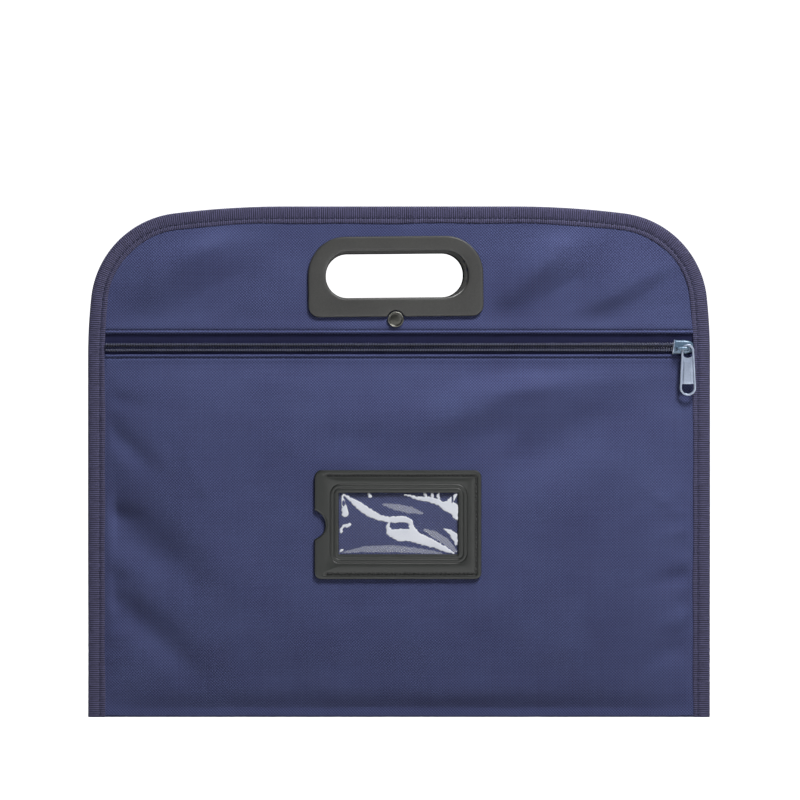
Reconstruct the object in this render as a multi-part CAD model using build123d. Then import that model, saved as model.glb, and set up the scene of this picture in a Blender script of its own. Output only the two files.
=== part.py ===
"""Flat zippered cash deposit bag: cloth panels, bound edge, coil zip, moulded handle, label holder.

Millimetres. The bag stands upright: +X is right as seen from the front, the front faces -Y and
+Z is up. The origin is the middle of the bottom fold. Cloth layers lie flat against y = 0 and the
two pocket walls swell away from it as shallow trays.
"""

import os
from math import cos, radians, sin

from build123d import *

# Outline of the bag: a flat top, then three tangent arcs down to a straight side.
BAG_WIDTH = 380.0
BAG_HEIGHT = 312.0
SHOULDER_RADIUS = 540.0
SHOULDER_TURN = 7.2
CORNER_RADIUS = 58.0
SIDE_RADIUS = 347.0
SIDE_TURN = 6.0

# Cloth, binding tape and thread.
CLOTH = 0.6
BINDING_TAPE = 0.5
BINDING_WIDTH = 10.4
BINDING_STITCH = 3.0
HEM_WIDTH = 8.0
HEM_STITCH = 2.4
THREAD = 0.4
THREAD_PROUD = 0.25
FOLD_HEIGHT = 1.8
SEWN_GAP = 0.1
LOOSE_GAP = 0.3

# Pocket walls: a short steep rise inside the seam, then a long gentle one.
POCKET_EDGE = 1.5
POCKET_SLOPE = 55.0
FRONT_EDGE_RISE = 1.5
FRONT_RISE = 7.0
BACK_EDGE_RISE = 4.6
BACK_RISE = 6.0
POCKET_FLOOR = 6.0

# Zip: number five coil, its centre line measured down from the top edge.
ZIP_DROP = 86.0
TAPE_WIDTH = 14.4
TAPE_SPLIT = 0.2
COIL_WIDTH = 2.4
COIL_DEPTH = 2.3
CORE_WIDTH = 0.9
YOKE_HEM_LIFT = 8.0
COIL_TO_LIP = 0.5
LIP_TO_HEM = 0.4

# Slider and pull.
SLIDER_LENGTH = 11.9
SLIDER_PLATE = 0.9
SLIDER_LIP = 0.9
SLIDER_NOSE = 3.0
SLIDER_RUN = 0.4
WEDGE_LENGTH = 3.0
WEDGE_WIDTH = 1.3
BRIDGE_SPAN = 6.5
BRIDGE_INSET = 1.7
BRIDGE_BAR = 1.4
PULL_BEHIND = 0.8
PULL_THICKNESS = 1.4
PULL_LENGTH = 31.5
PULL_TIP_WIDTH = 10.0
RING_WALL = 1.3
RING_HOLE_WIDTH = 5.2
RING_HOLE_HEIGHT = 7.0
RING_GAP = 0.35
TIP_HOLE_WALL = 1.4
TIP_HOLE_HEIGHT = 5.8
BADGE_HEIGHT = 13.5
BADGE_SIDE_WALL = 1.9
BADGE_PROUD = 0.3

# Handle: two moulded shells clamped through the cloth, placed from the top edge.
HANDLE_OFFSET = -2.0
HANDLE_DROP = 18.3
HANDLE_WIDTH = 107.0
HANDLE_HEIGHT = 49.2
HANDLE_TOP_RADIUS = 23.0
HANDLE_LOW_RADIUS = 7.0
GRIP_WIDTH = 83.5
GRIP_HEIGHT = 26.5
GRIP_DROP = 10.9
SHELL_FLANGE = 2.2
SHELL_EDGE = 0.9
COLLAR_WALL = 1.8
PEG_RADIUS = 1.5
PEG_INSET = 6.0
PEG_DEPTH = 1.2
PEG_GAP = 0.05

# Rivet between the handle and the zip.
RIVET_DROP = 69.0
RIVET_RADIUS = 5.0
RIVET_CAP = 1.4
RIVET_DOME = 0.5
RIVET_STEM = 1.5
RIVET_BACK = 1.0

# Label holder on the front wall, measured up from the bottom fold.
LABEL_OFFSET = -0.6
LABEL_FOOT = 84.7
LABEL_WIDTH = 101.5
LABEL_HEIGHT = 66.3
LABEL_THICKNESS = 2.2
LABEL_RADIUS = 4.0
WINDOW_WIDTH = 72.7
WINDOW_HEIGHT = 37.3
WINDOW_LEFT = 14.7
WINDOW_FOOT = 15.2
FILM = 0.3
FILM_LAP = 2.0
CARD_DEPTH = 0.8
CARD_MARGIN = 6.0
GROOVE_INSET = 3.2
GROOVE_WIDTH = 1.1
GROOVE_DEPTH = 0.7
BEAD_GAPS = (2.6, 5.0)
BEAD_WIDTH = 0.7
BEAD_DEPTH = 0.35
NOTCH_RADIUS = 9.0
NOTCH_DEPTH = 6.6

# Layer planes along Y, from the back of the bag to its front.
BACK_INNER = 0.0
BACK_OUTER = CLOTH
TAPE_BACK = BACK_INNER
TAPE_FRONT = TAPE_BACK - CLOTH
PANEL_BACK = TAPE_FRONT
PANEL_FRONT = PANEL_BACK - CLOTH
HEM_FRONT = PANEL_FRONT - CLOTH
BINDING_FRONT = PANEL_FRONT - BINDING_TAPE
BINDING_BACK = BACK_OUTER + BINDING_TAPE
COIL_FRONT = TAPE_FRONT - COIL_DEPTH
WALL_FRONT = PANEL_FRONT - FRONT_RISE
LABEL_FRONT = WALL_FRONT - LABEL_THICKNESS

# Heights along Z.
ZIP_LINE = BAG_HEIGHT - ZIP_DROP
YOKE_EDGE = ZIP_LINE + YOKE_HEM_LIFT
SLIDER_HALF = TAPE_SPLIT / 2 + COIL_WIDTH + COIL_TO_LIP + SLIDER_LIP
FRONT_EDGE = ZIP_LINE - SLIDER_HALF - LIP_TO_HEM
PANEL_FOOT = FOLD_HEIGHT + LOOSE_GAP
RIVET_HEIGHT = BAG_HEIGHT - RIVET_DROP
HANDLE_TOP = BAG_HEIGHT - HANDLE_DROP
HANDLE_FOOT = HANDLE_TOP - HANDLE_HEIGHT
GRIP_MIDDLE = HANDLE_TOP - GRIP_DROP - GRIP_HEIGHT / 2

# Widths along X.
HALF_WIDTH = BAG_WIDTH / 2
CLEAR_HALF = HALF_WIDTH - BINDING_WIDTH - LOOSE_GAP
SEWN_HALF = HALF_WIDTH - BINDING_TAPE - SEWN_GAP
SLIDER_RIGHT = CLEAR_HALF - POCKET_EDGE - SEWN_GAP
SLIDER_LEFT = SLIDER_RIGHT - SLIDER_LENGTH
WEDGE_LEFT = SLIDER_RIGHT - SLIDER_PLATE - WEDGE_LENGTH

# Slider depths along Y: plates either side of the tapes and coils, then the pull, then the bridge.
SLIDER_BACK_FACE = TAPE_BACK + SLIDER_RUN
SLIDER_FRONT_FACE = COIL_FRONT - SLIDER_RUN
SLIDER_TOP = SLIDER_FRONT_FACE - SLIDER_PLATE
PULL_BACK = SLIDER_TOP - PULL_BEHIND
PULL_FRONT = PULL_BACK - PULL_THICKNESS
BRIDGE_BACK = PULL_FRONT - LOOSE_GAP
BRIDGE_FRONT = BRIDGE_BACK - BRIDGE_BAR
BRIDGE_POST = SLIDER_RIGHT - BRIDGE_INSET


def upright(shape):
    """Turn a flat XY shape up into the XZ plane, its Y becoming height."""
    return Plane.XZ * shape


def slab(face, front, back):
    """Thicken an upright face between two planes along Y."""
    return extrude(Pos(0, back, 0) * face, amount=back - front, dir=(0, -1, 0))


def rectangle(left, right, low, high):
    """Upright rectangle by its four sides."""
    middle = Pos((left + right) / 2, (low + high) / 2)
    return upright(middle * Rectangle(right - left, high - low))


def block(left, right, front, back, low, high):
    """Box by its six sides."""
    return slab(rectangle(left, right, low, high), front, back)


def disc(x, z, radius):
    """Upright disc."""
    return upright(Pos(x, z) * Circle(radius))


def outline(inset):
    """Upright outline of the bag, drawn in from its left, top and right edges."""
    top = BAG_HEIGHT - inset
    shoulder = radians(SHOULDER_TURN)
    side = radians(SIDE_TURN)
    arcs_across = (SHOULDER_RADIUS - CORNER_RADIUS) * sin(shoulder)
    arcs_across += (CORNER_RADIUS - SIDE_RADIUS) * cos(side)
    flat = HALF_WIDTH - SIDE_RADIUS - arcs_across
    shoulder_z = BAG_HEIGHT - SHOULDER_RADIUS
    corner_x = flat + (SHOULDER_RADIUS - CORNER_RADIUS) * sin(shoulder)
    corner_z = shoulder_z + (SHOULDER_RADIUS - CORNER_RADIUS) * cos(shoulder)
    side_x = corner_x + (CORNER_RADIUS - SIDE_RADIUS) * cos(side)
    side_z = corner_z + (CORNER_RADIUS - SIDE_RADIUS) * sin(side)
    edge = HALF_WIDTH - inset
    corner_start = 90 - SHOULDER_TURN
    right = [
        Line((0, top), (flat, top)),
        CenterArc((flat, shoulder_z), SHOULDER_RADIUS - inset, 90, -SHOULDER_TURN),
        CenterArc((corner_x, corner_z), CORNER_RADIUS - inset, corner_start, SIDE_TURN - corner_start),
        CenterArc((side_x, side_z), SIDE_RADIUS - inset, SIDE_TURN, -SIDE_TURN),
        Line((edge, side_z), (edge, 0)),
        Line((edge, 0), (0, 0)),
    ]
    left = [mirror(line, about=Plane.YZ) for line in right]
    return upright(make_face(right + left))


def above(height):
    """Upright band from a height to past the top edge."""
    return rectangle(-BAG_WIDTH, BAG_WIDTH, height, 2 * BAG_HEIGHT)


def ring(outer, width):
    """Upright U-shaped strip that follows the left, top and right edges."""
    return outline(outer) - outline(outer + width)


def frustum(half, low, high, inset_a, y_a, inset_b, y_b):
    """Four-sided taper between two upright rectangles at two depths."""
    near = rectangle(inset_a - half, half - inset_a, low + inset_a, high - inset_a)
    far = rectangle(inset_b - half, half - inset_b, low + inset_b, high - inset_b)
    return loft([Pos(0, y_a, 0) * near, Pos(0, y_b, 0) * far], ruled=True)


def swell(plane, way, edge_rise, rise, low, high):
    """Solid hump of a pocket wall that stands off a plane, steep at the seam and gentle inside."""
    y_edge = plane + way * edge_rise
    y_top = plane + way * rise
    skirt = frustum(CLEAR_HALF, low, high, 0, plane, POCKET_EDGE, y_edge)
    crown = frustum(CLEAR_HALF, low, high, POCKET_EDGE, y_edge, POCKET_SLOPE, y_top)
    return skirt + crown


def rivet_hole(radius, front, back):
    """Round plug on the rivet's axis."""
    return slab(disc(HANDLE_OFFSET, RIVET_HEIGHT, radius), front, back)


def grip_slot(margin):
    """Upright stadium of the finger opening, grown by a margin."""
    slot = SlotOverall(GRIP_WIDTH + 2 * margin, GRIP_HEIGHT + 2 * margin)
    return upright(Pos(HANDLE_OFFSET, GRIP_MIDDLE) * slot)


def peg_points():
    """Centres of the four pegs that join the handle shells."""
    across = HANDLE_WIDTH / 2 - PEG_INSET
    low = HANDLE_FOOT + PEG_INSET
    high = GRIP_MIDDLE + GRIP_HEIGHT / 2 - PEG_INSET
    return [(HANDLE_OFFSET + side * across, z) for side in (-1, 1) for z in (low, high)]


def pegs(radius, front, back):
    """Four round plugs on the peg centres."""
    plugs = [slab(disc(x, z, radius), front, back) for x, z in peg_points()]
    return Part() + plugs


def handle_cutters(front, back):
    """Holes that the handle and the rivet need in a cloth panel."""
    collar = slab(grip_slot(COLLAR_WALL + SEWN_GAP), front, back)
    return collar + pegs(PEG_RADIUS + SEWN_GAP, front, back) + rivet_hole(RIVET_STEM + SEWN_GAP, front, back)


def handle_face():
    """Upright outline of a handle shell, big radii at the top and small ones at the foot."""
    half = HANDLE_WIDTH / 2
    plate = Pos(HANDLE_OFFSET, (HANDLE_TOP + HANDLE_FOOT) / 2) * Rectangle(2 * half, HANDLE_HEIGHT)
    corners = plate.vertices().group_by(Axis.Y)
    plate = fillet(corners[-1], HANDLE_TOP_RADIUS)
    low = [v for v in plate.vertices() if abs(v.Y - HANDLE_FOOT) < SEWN_GAP]
    return upright(fillet(low, HANDLE_LOW_RADIUS))


def handle_shell(flange_plane, way):
    """Handle flange with its collar through the cloth, and a notch that clears the rivet."""
    outer = flange_plane + way * SHELL_FLANGE
    front, back = sorted((flange_plane, outer))
    flange = slab(handle_face(), front, back)
    rim = flange.faces().sort_by(Axis.Y)[-1 if way > 0 else 0].edges()
    flange = chamfer(rim, SHELL_EDGE)
    middle = (BACK_OUTER + PANEL_FRONT) / 2
    collar_front, collar_back = sorted((flange_plane, middle))
    shell = flange + slab(grip_slot(COLLAR_WALL), collar_front, collar_back)
    shell -= slab(grip_slot(0), -BAG_WIDTH, BAG_WIDTH)
    return shell - rivet_hole(RIVET_RADIUS + LOOSE_GAP, -BAG_WIDTH, BAG_WIDTH)


def pull_shape(points):
    """Upright face through a closed run of points."""
    return upright(make_face(Polyline(*points, close=True)))


def label_rectangle(grow):
    """Upright rectangle of the label window, grown on every side."""
    left = LABEL_OFFSET - LABEL_WIDTH / 2 + WINDOW_LEFT
    foot = LABEL_FOOT + WINDOW_FOOT
    return rectangle(left - grow, left + WINDOW_WIDTH + grow, foot - grow, foot + WINDOW_HEIGHT + grow)


def label_stitch_path(width):
    """Upright C-shaped strip of the label's stitch line, open on the left for the card."""
    middle = Pos(LABEL_OFFSET, LABEL_FOOT + LABEL_HEIGHT / 2)
    outer = GROOVE_INSET - width / 2
    inner = GROOVE_INSET + width / 2
    radius = LABEL_RADIUS / 2
    big = middle * RectangleRounded(LABEL_WIDTH - 2 * outer, LABEL_HEIGHT - 2 * outer, radius)
    small = middle * RectangleRounded(LABEL_WIDTH - 2 * inner, LABEL_HEIGHT - 2 * inner, radius)
    open_side = LABEL_OFFSET - LABEL_WIDTH / 2 + 2 * GROOVE_INSET
    return upright(big - small) - rectangle(-BAG_WIDTH, open_side, 0, BAG_HEIGHT)


def back_panel():
    """Back wall from the bottom fold to the top edge, swollen behind the pocket."""
    high = ZIP_LINE + SLIDER_HALF + POCKET_EDGE + LOOSE_GAP
    hump = swell(BACK_OUTER, 1, BACK_EDGE_RISE, BACK_RISE, POCKET_FLOOR, high)
    sheet = slab(outline(BINDING_TAPE + SEWN_GAP), BACK_INNER, BACK_OUTER) + hump
    sheet -= Pos(0, -CLOTH, 0) * hump
    sheet += block(-SEWN_HALF, SEWN_HALF, PANEL_FRONT, BACK_INNER, 0, FOLD_HEIGHT)
    return sheet - handle_cutters(BACK_INNER, BACK_OUTER)


def front_panel():
    """Front pocket wall up to its hem under the zip."""
    sheet = block(-SEWN_HALF, SEWN_HALF, PANEL_FRONT, PANEL_BACK, PANEL_FOOT, FRONT_EDGE)
    hump = swell(PANEL_FRONT, -1, FRONT_EDGE_RISE, FRONT_RISE, POCKET_FLOOR, FRONT_EDGE - HEM_WIDTH)
    sheet += hump
    sheet -= Pos(0, CLOTH, 0) * hump
    hem = block(-CLEAR_HALF, CLEAR_HALF, HEM_FRONT, PANEL_FRONT, FRONT_EDGE - HEM_WIDTH, FRONT_EDGE)
    return sheet + hem


def yoke_panel():
    """Front cloth above the zip, hemmed along its lower edge."""
    sheet = slab(outline(BINDING_TAPE + SEWN_GAP) & above(YOKE_EDGE), PANEL_FRONT, PANEL_BACK)
    hem = block(-CLEAR_HALF, CLEAR_HALF, HEM_FRONT, PANEL_FRONT, YOKE_EDGE, YOKE_EDGE + HEM_WIDTH)
    hem &= slab(outline(BINDING_WIDTH + LOOSE_GAP), HEM_FRONT, PANEL_FRONT)
    return sheet + hem - handle_cutters(HEM_FRONT, PANEL_BACK)


def edge_binding():
    """Ribbed tape folded over the left, top and right edges."""
    front = slab(ring(0, BINDING_WIDTH), BINDING_FRONT, PANEL_FRONT)
    back = slab(ring(0, BINDING_WIDTH), BACK_OUTER, BINDING_BACK)
    web = slab(ring(0, BINDING_TAPE), PANEL_FRONT, BACK_OUTER)
    return front + web + back


def binding_thread():
    """Lockstitch row through the binding, one run on each face."""
    line = ring(BINDING_WIDTH - BINDING_STITCH - THREAD / 2, THREAD)
    front = slab(line, BINDING_FRONT - THREAD_PROUD, BINDING_FRONT)
    back = slab(line, BINDING_BACK, BINDING_BACK + THREAD_PROUD)
    return Compound(children=[front, back])


def hem_thread(height):
    """Stitch row along a hem."""
    low = height - THREAD / 2
    return block(-CLEAR_HALF, CLEAR_HALF, HEM_FRONT - THREAD_PROUD, HEM_FRONT, low, low + THREAD)


def zip_tape_upper():
    """Woven tape that carries the upper coil, sewn behind the yoke hem."""
    low = ZIP_LINE + TAPE_SPLIT / 2
    tape = block(-SEWN_HALF, SEWN_HALF, TAPE_FRONT, TAPE_BACK, low, low + TAPE_WIDTH)
    return tape & slab(outline(BINDING_TAPE + SEWN_GAP), TAPE_FRONT, TAPE_BACK)


def zip_tape_lower():
    """Woven tape that carries the lower coil, let out round the slider's wedge."""
    high = ZIP_LINE - TAPE_SPLIT / 2
    tape = block(-SEWN_HALF, SEWN_HALF, TAPE_FRONT, TAPE_BACK, high - TAPE_WIDTH, high)
    low = high - WEDGE_WIDTH - LOOSE_GAP
    return tape - block(WEDGE_LEFT - LOOSE_GAP, CLEAR_HALF, TAPE_FRONT, TAPE_BACK, low, high)


def zip_coil(way, right_end):
    """Half of the coil as a square tube round its core cord."""
    near = ZIP_LINE + way * TAPE_SPLIT / 2
    low, high = sorted((near, near + way * COIL_WIDTH))
    tube = block(-CLEAR_HALF, right_end, COIL_FRONT, TAPE_FRONT, low, high)
    return tube - zip_core_space(way, right_end, CORE_WIDTH + 2 * SEWN_GAP)


def zip_core_space(way, right_end, width):
    """Square bar along the middle of a half coil."""
    middle = ZIP_LINE + way * (TAPE_SPLIT + COIL_WIDTH) / 2
    depth = (COIL_FRONT + TAPE_FRONT) / 2
    half = width / 2
    return block(-CLEAR_HALF, right_end, depth - half, depth + half, middle - half, middle + half)


def slider_body():
    """Slider: two plates joined by a wedge, side lips round the coils, and a bridge for the pull."""
    low = ZIP_LINE - SLIDER_HALF
    high = ZIP_LINE + SLIDER_HALF
    plate = Pos((SLIDER_LEFT + SLIDER_RIGHT) / 2, ZIP_LINE) * Rectangle(SLIDER_LENGTH, 2 * SLIDER_HALF)
    plate = upright(fillet(plate.vertices().group_by(Axis.X)[-1], SLIDER_NOSE))
    body = slab(plate, SLIDER_TOP, SLIDER_FRONT_FACE)
    body += slab(plate, SLIDER_BACK_FACE, SLIDER_BACK_FACE + SLIDER_PLATE)
    lip_back = TAPE_FRONT - SLIDER_RUN
    lips_right = SLIDER_RIGHT - SLIDER_NOSE
    body += block(SLIDER_LEFT, lips_right, SLIDER_TOP, lip_back, low, low + SLIDER_LIP)
    body += block(SLIDER_LEFT, lips_right, SLIDER_TOP, lip_back, high - SLIDER_LIP, high)
    wedge_high = ZIP_LINE - TAPE_SPLIT / 2
    wedge = block(WEDGE_LEFT, WEDGE_LEFT + WEDGE_LENGTH, SLIDER_FRONT_FACE, SLIDER_BACK_FACE,
                  wedge_high - WEDGE_WIDTH, wedge_high)
    return body + wedge + slider_bridge()


def slider_bridge():
    """Bar along the slider, on two posts, that the pull's ring is threaded on."""
    half = BRIDGE_BAR / 2
    left = BRIDGE_POST - BRIDGE_SPAN
    posts = [slab(disc(x, ZIP_LINE, half), BRIDGE_FRONT, SLIDER_TOP) for x in (left, BRIDGE_POST)]
    return block(left, BRIDGE_POST, BRIDGE_FRONT, BRIDGE_BACK, ZIP_LINE - half, ZIP_LINE + half) + posts


def pull_tab():
    """Flat pull hanging from the bridge: ring at the top, badge plate, D-shaped hole at the tip."""
    ring_radius = RING_HOLE_WIDTH / 2 + RING_WALL
    hole_top = ZIP_LINE + BRIDGE_BAR / 2 + RING_GAP
    ring_z = hole_top - RING_HOLE_WIDTH / 2
    top = ring_z + ring_radius
    tip_radius = PULL_TIP_WIDTH / 2
    tip_z = top - PULL_LENGTH + tip_radius
    x = BRIDGE_POST
    sides = [(x - ring_radius, ring_z), (x + ring_radius, ring_z)]
    sides += [(x + tip_radius, tip_z), (x - tip_radius, tip_z)]
    face = pull_shape(sides) + disc(x, ring_z, ring_radius) + disc(x, tip_z, tip_radius)
    hole_middle = hole_top - RING_HOLE_HEIGHT / 2
    eye = SlotOverall(RING_HOLE_HEIGHT, RING_HOLE_WIDTH, rotation=90)
    face -= upright(Pos(x, hole_middle) * eye)
    tip_hole_top = tip_z - tip_radius + TIP_HOLE_WALL + TIP_HOLE_HEIGHT
    tip_hole = disc(x, tip_z, tip_radius - TIP_HOLE_WALL)
    tip_hole += rectangle(x - tip_radius + TIP_HOLE_WALL, x + tip_radius - TIP_HOLE_WALL, tip_z, tip_hole_top)
    face -= tip_hole & rectangle(0, BAG_WIDTH, 0, tip_hole_top)
    badge_half = tip_radius - BADGE_SIDE_WALL
    badge = rectangle(x - badge_half, x + badge_half, tip_hole_top, tip_hole_top + BADGE_HEIGHT)
    return slab(face, PULL_FRONT, PULL_BACK) + slab(badge, PULL_FRONT - BADGE_PROUD, PULL_FRONT)


def handle_front_shell():
    """Front half of the handle, with the pegs."""
    shell = handle_shell(PANEL_FRONT, -1)
    return shell + pegs(PEG_RADIUS, PANEL_FRONT, BACK_OUTER + PEG_DEPTH)


def handle_back_shell():
    """Back half of the handle, with the sockets."""
    shell = handle_shell(BACK_OUTER, 1)
    return shell - pegs(PEG_RADIUS + PEG_GAP, BACK_OUTER, BACK_OUTER + PEG_DEPTH + PEG_GAP)


def rivet_cap():
    """Domed front cap of the rivet, socketed for its stem."""
    cap = slab(disc(HANDLE_OFFSET, RIVET_HEIGHT, RIVET_RADIUS), HEM_FRONT - RIVET_CAP, HEM_FRONT)
    cap = chamfer(cap.faces().sort_by(Axis.Y)[0].edges(), RIVET_DOME)
    return cap - rivet_hole(RIVET_STEM + PEG_GAP, HEM_FRONT - RIVET_CAP / 2, HEM_FRONT)


def rivet_post():
    """Back cap of the rivet with its stem."""
    back = slab(disc(HANDLE_OFFSET, RIVET_HEIGHT, RIVET_RADIUS), BACK_OUTER, BACK_OUTER + RIVET_BACK)
    return back + rivet_hole(RIVET_STEM, HEM_FRONT - RIVET_CAP / 2, BACK_OUTER)


def label_frame():
    """Soft moulded label holder: window, card space behind, stitch groove, beads and thumb notch."""
    middle = Pos(LABEL_OFFSET, LABEL_FOOT + LABEL_HEIGHT / 2)
    face = upright(middle * RectangleRounded(LABEL_WIDTH, LABEL_HEIGHT, LABEL_RADIUS)) - label_rectangle(0)
    left = LABEL_OFFSET - LABEL_WIDTH / 2
    face -= disc(left + NOTCH_DEPTH - NOTCH_RADIUS, LABEL_FOOT + LABEL_HEIGHT / 2, NOTCH_RADIUS)
    frame = slab(face, LABEL_FRONT, WALL_FRONT)
    right = left + LABEL_WIDTH - CARD_MARGIN
    card = rectangle(left, right, LABEL_FOOT + CARD_MARGIN, LABEL_FOOT + LABEL_HEIGHT - CARD_MARGIN)
    frame -= slab(card, WALL_FRONT - CARD_DEPTH, WALL_FRONT)
    frame -= slab(label_rectangle(FILM_LAP), WALL_FRONT - CARD_DEPTH - FILM, WALL_FRONT)
    frame -= slab(label_stitch_path(GROOVE_WIDTH), LABEL_FRONT, LABEL_FRONT + GROOVE_DEPTH)
    for gap in BEAD_GAPS:
        bead = label_rectangle(gap + BEAD_WIDTH) - label_rectangle(gap)
        frame -= slab(bead, LABEL_FRONT, LABEL_FRONT + BEAD_DEPTH)
    return frame


def label_window():
    """Clear film welded into the back of the label frame."""
    back = WALL_FRONT - CARD_DEPTH
    return slab(label_rectangle(FILM_LAP), back - FILM, back)


def label_thread():
    """Stitch row in the label's groove."""
    floor = LABEL_FRONT + GROOVE_DEPTH
    return slab(label_stitch_path(THREAD), floor - THREAD_PROUD, floor)


def build_parts():
    """Every piece of the bag by its name."""
    coil_end = WEDGE_LEFT - LOOSE_GAP
    return {
        "back_panel": back_panel(),
        "front_panel": front_panel(),
        "yoke_panel": yoke_panel(),
        "edge_binding": edge_binding(),
        "binding_thread": binding_thread(),
        "yoke_hem_thread": hem_thread(YOKE_EDGE + HEM_STITCH),
        "front_hem_thread": hem_thread(FRONT_EDGE - HEM_STITCH),
        "zip_tape_upper": zip_tape_upper(),
        "zip_tape_lower": zip_tape_lower(),
        "zip_coil_upper": zip_coil(1, CLEAR_HALF),
        "zip_coil_lower": zip_coil(-1, coil_end),
        "zip_core_upper": zip_core_space(1, CLEAR_HALF, CORE_WIDTH),
        "zip_core_lower": zip_core_space(-1, coil_end, CORE_WIDTH),
        "slider_body": slider_body(),
        "pull_tab": pull_tab(),
        "handle_front_shell": handle_front_shell(),
        "handle_back_shell": handle_back_shell(),
        "rivet_cap": rivet_cap(),
        "rivet_post": rivet_post(),
        "label_frame": label_frame(),
        "label_window": label_window(),
        "label_thread": label_thread(),
    }


os.makedirs("parts", exist_ok=True)
for name, shape in build_parts().items():
    export_step(shape, f"parts/{name}.step")
    print(name, len(shape.solids()), round(shape.volume, 1))
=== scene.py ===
"""Flat zippered cash deposit bag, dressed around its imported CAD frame.

The bag stands upright: X is right as seen from the front, the front faces -Y and Z is up. Shapes are
worked out in millimetres as whole numpy arrays and put into meshes in metres, so every finished piece
has its place in its mesh. Cloth and tapes carry an attribute with their own flat place in millimetres,
which the woven finishes read.
"""

import logging
import math
from dataclasses import dataclass, field
from enum import Enum

import bpy
import numpy as np
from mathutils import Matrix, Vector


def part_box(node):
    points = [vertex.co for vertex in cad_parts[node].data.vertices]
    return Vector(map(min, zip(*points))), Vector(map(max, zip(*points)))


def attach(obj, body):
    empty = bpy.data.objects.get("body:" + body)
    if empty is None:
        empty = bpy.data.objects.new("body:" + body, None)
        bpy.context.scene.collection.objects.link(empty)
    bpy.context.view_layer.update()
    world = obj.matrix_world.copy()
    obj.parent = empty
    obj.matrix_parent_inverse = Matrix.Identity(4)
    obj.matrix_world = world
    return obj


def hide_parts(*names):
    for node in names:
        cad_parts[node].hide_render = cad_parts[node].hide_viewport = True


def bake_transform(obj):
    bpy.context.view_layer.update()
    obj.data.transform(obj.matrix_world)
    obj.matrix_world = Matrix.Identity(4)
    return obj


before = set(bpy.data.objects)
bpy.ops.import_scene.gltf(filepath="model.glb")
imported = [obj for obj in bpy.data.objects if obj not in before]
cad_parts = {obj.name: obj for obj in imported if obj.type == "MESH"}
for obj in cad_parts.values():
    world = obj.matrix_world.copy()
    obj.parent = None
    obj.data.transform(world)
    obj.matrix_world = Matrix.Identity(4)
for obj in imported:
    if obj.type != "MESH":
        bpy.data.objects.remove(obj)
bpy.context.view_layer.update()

Array = np.ndarray
LOG = logging.getLogger("deposit_bag")
MM = 0.001
FLAT_PLACE = "flat_place"
# Attribute that holds the film's painted highlight: white opacity on its creases in place of reflections.
PAINTED_HIGHLIGHT_ATTRIBUTE = "painted_highlight"
TO_FRONT = np.array([0.0, -1.0, 0.0])


class Facing(Enum):
    """The side of the bag that a piece looks to, as a sign along Y."""

    FRONT = -1
    BACK = 1


class Half(Enum):
    """The left or right half of a piece that is split in the middle, as a sign along X."""

    LEFT = -1
    RIGHT = 1


def linear(colour: str) -> tuple[float, float, float, float]:
    """Turns an sRGB hex colour such as "#40466a" into linear RGBA."""
    parts = [int(colour[start:start + 2], 16) / 255 for start in (1, 3, 5)]
    bent = [part / 12.92 if part <= 0.04045 else ((part + 0.055) / 1.055) ** 2.4 for part in parts]
    return (*bent, 1.0)


def corners(node: str) -> tuple[Array, Array]:
    """Lowest and highest corner of a CAD node, in millimetres."""
    low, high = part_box(node)
    return np.array(low) / MM, np.array(high) / MM


def low_corner(node: str) -> Array:
    """Lowest corner of a CAD node, in millimetres."""
    return corners(node)[0]


def high_corner(node: str) -> Array:
    """Highest corner of a CAD node, in millimetres."""
    return corners(node)[1]


def beyond(node: str, x: Array, z: Array) -> Array:
    """How far a place is outside a CAD node's box as seen from the front, the larger of X and Z."""
    low, high = corners(node)
    return np.maximum.reduce([low[0] - x, x - high[0], low[2] - z, z - high[2]])


# ---------------------------------------------------------------------------------------------
# Shapes
# ---------------------------------------------------------------------------------------------


@dataclass
class Shell:
    """Points in millimetres and the faces between them.

    Attributes:
        points: (n, 3) places.
        quads: (m, 4) point numbers.
        flat: (n, 2) place of each point along and across the piece, in millimetres.
        triangles: (k, 3) point numbers.
    """

    points: Array
    quads: Array
    flat: Array
    triangles: Array = field(default_factory=lambda: np.zeros((0, 3), int))

    def turned_out(self) -> "Shell":
        """Turns the faces of a closed shell outwards: its signed volume has to be positive."""
        halves = (self.quads[:, [0, 1, 2]], self.quads[:, [0, 2, 3]], self.triangles)
        corners = self.points[np.vstack(halves)] - self.points.mean(0)
        volume = np.einsum("ij,ij->i", corners[:, 0], np.cross(corners[:, 1], corners[:, 2])).sum()
        if volume < 0:
            self.quads = self.quads[:, ::-1]
            self.triangles = self.triangles[:, ::-1]
        return self


def joined(shells: list[Shell]) -> Shell:
    """Puts several shells into one."""
    starts = np.cumsum([0] + [len(shell.points) for shell in shells[:-1]])
    return Shell(
        np.vstack([shell.points for shell in shells]),
        np.vstack([shell.quads + start for shell, start in zip(shells, starts)]),
        np.vstack([shell.flat for shell in shells]),
        np.vstack([shell.triangles + start for shell, start in zip(shells, starts)]),
    )


def lattice(rows: int, columns: int, close_rows: bool = False, close_columns: bool = False) -> Array:
    """Quads between the neighbours of a grid of points that is numbered row by row.

    Args:
        rows: Number of rows.
        columns: Number of points in a row.
        close_rows: Whether the last row joins the first.
        close_columns: Whether each row's last point joins its first.

    Returns:
        (m, 4) point numbers.
    """
    row = np.arange(rows if close_rows else rows - 1)[:, None]
    column = np.arange(columns if close_columns else columns - 1)[None, :]
    row_next = (row + 1) % rows
    column_next = (column + 1) % columns
    corners = (row * columns + column, row * columns + column_next,
               row_next * columns + column_next, row_next * columns + column)
    return np.stack([corner.ravel() for corner in corners], 1)


def ladder(count: int, start: int) -> Array:
    """Quads that fill a closed loop of points, the first paired with the last and so on inwards."""
    step = np.arange(count // 2 - 1)
    return start + np.stack([step, step + 1, count - 2 - step, count - 1 - step], 1)


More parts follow.
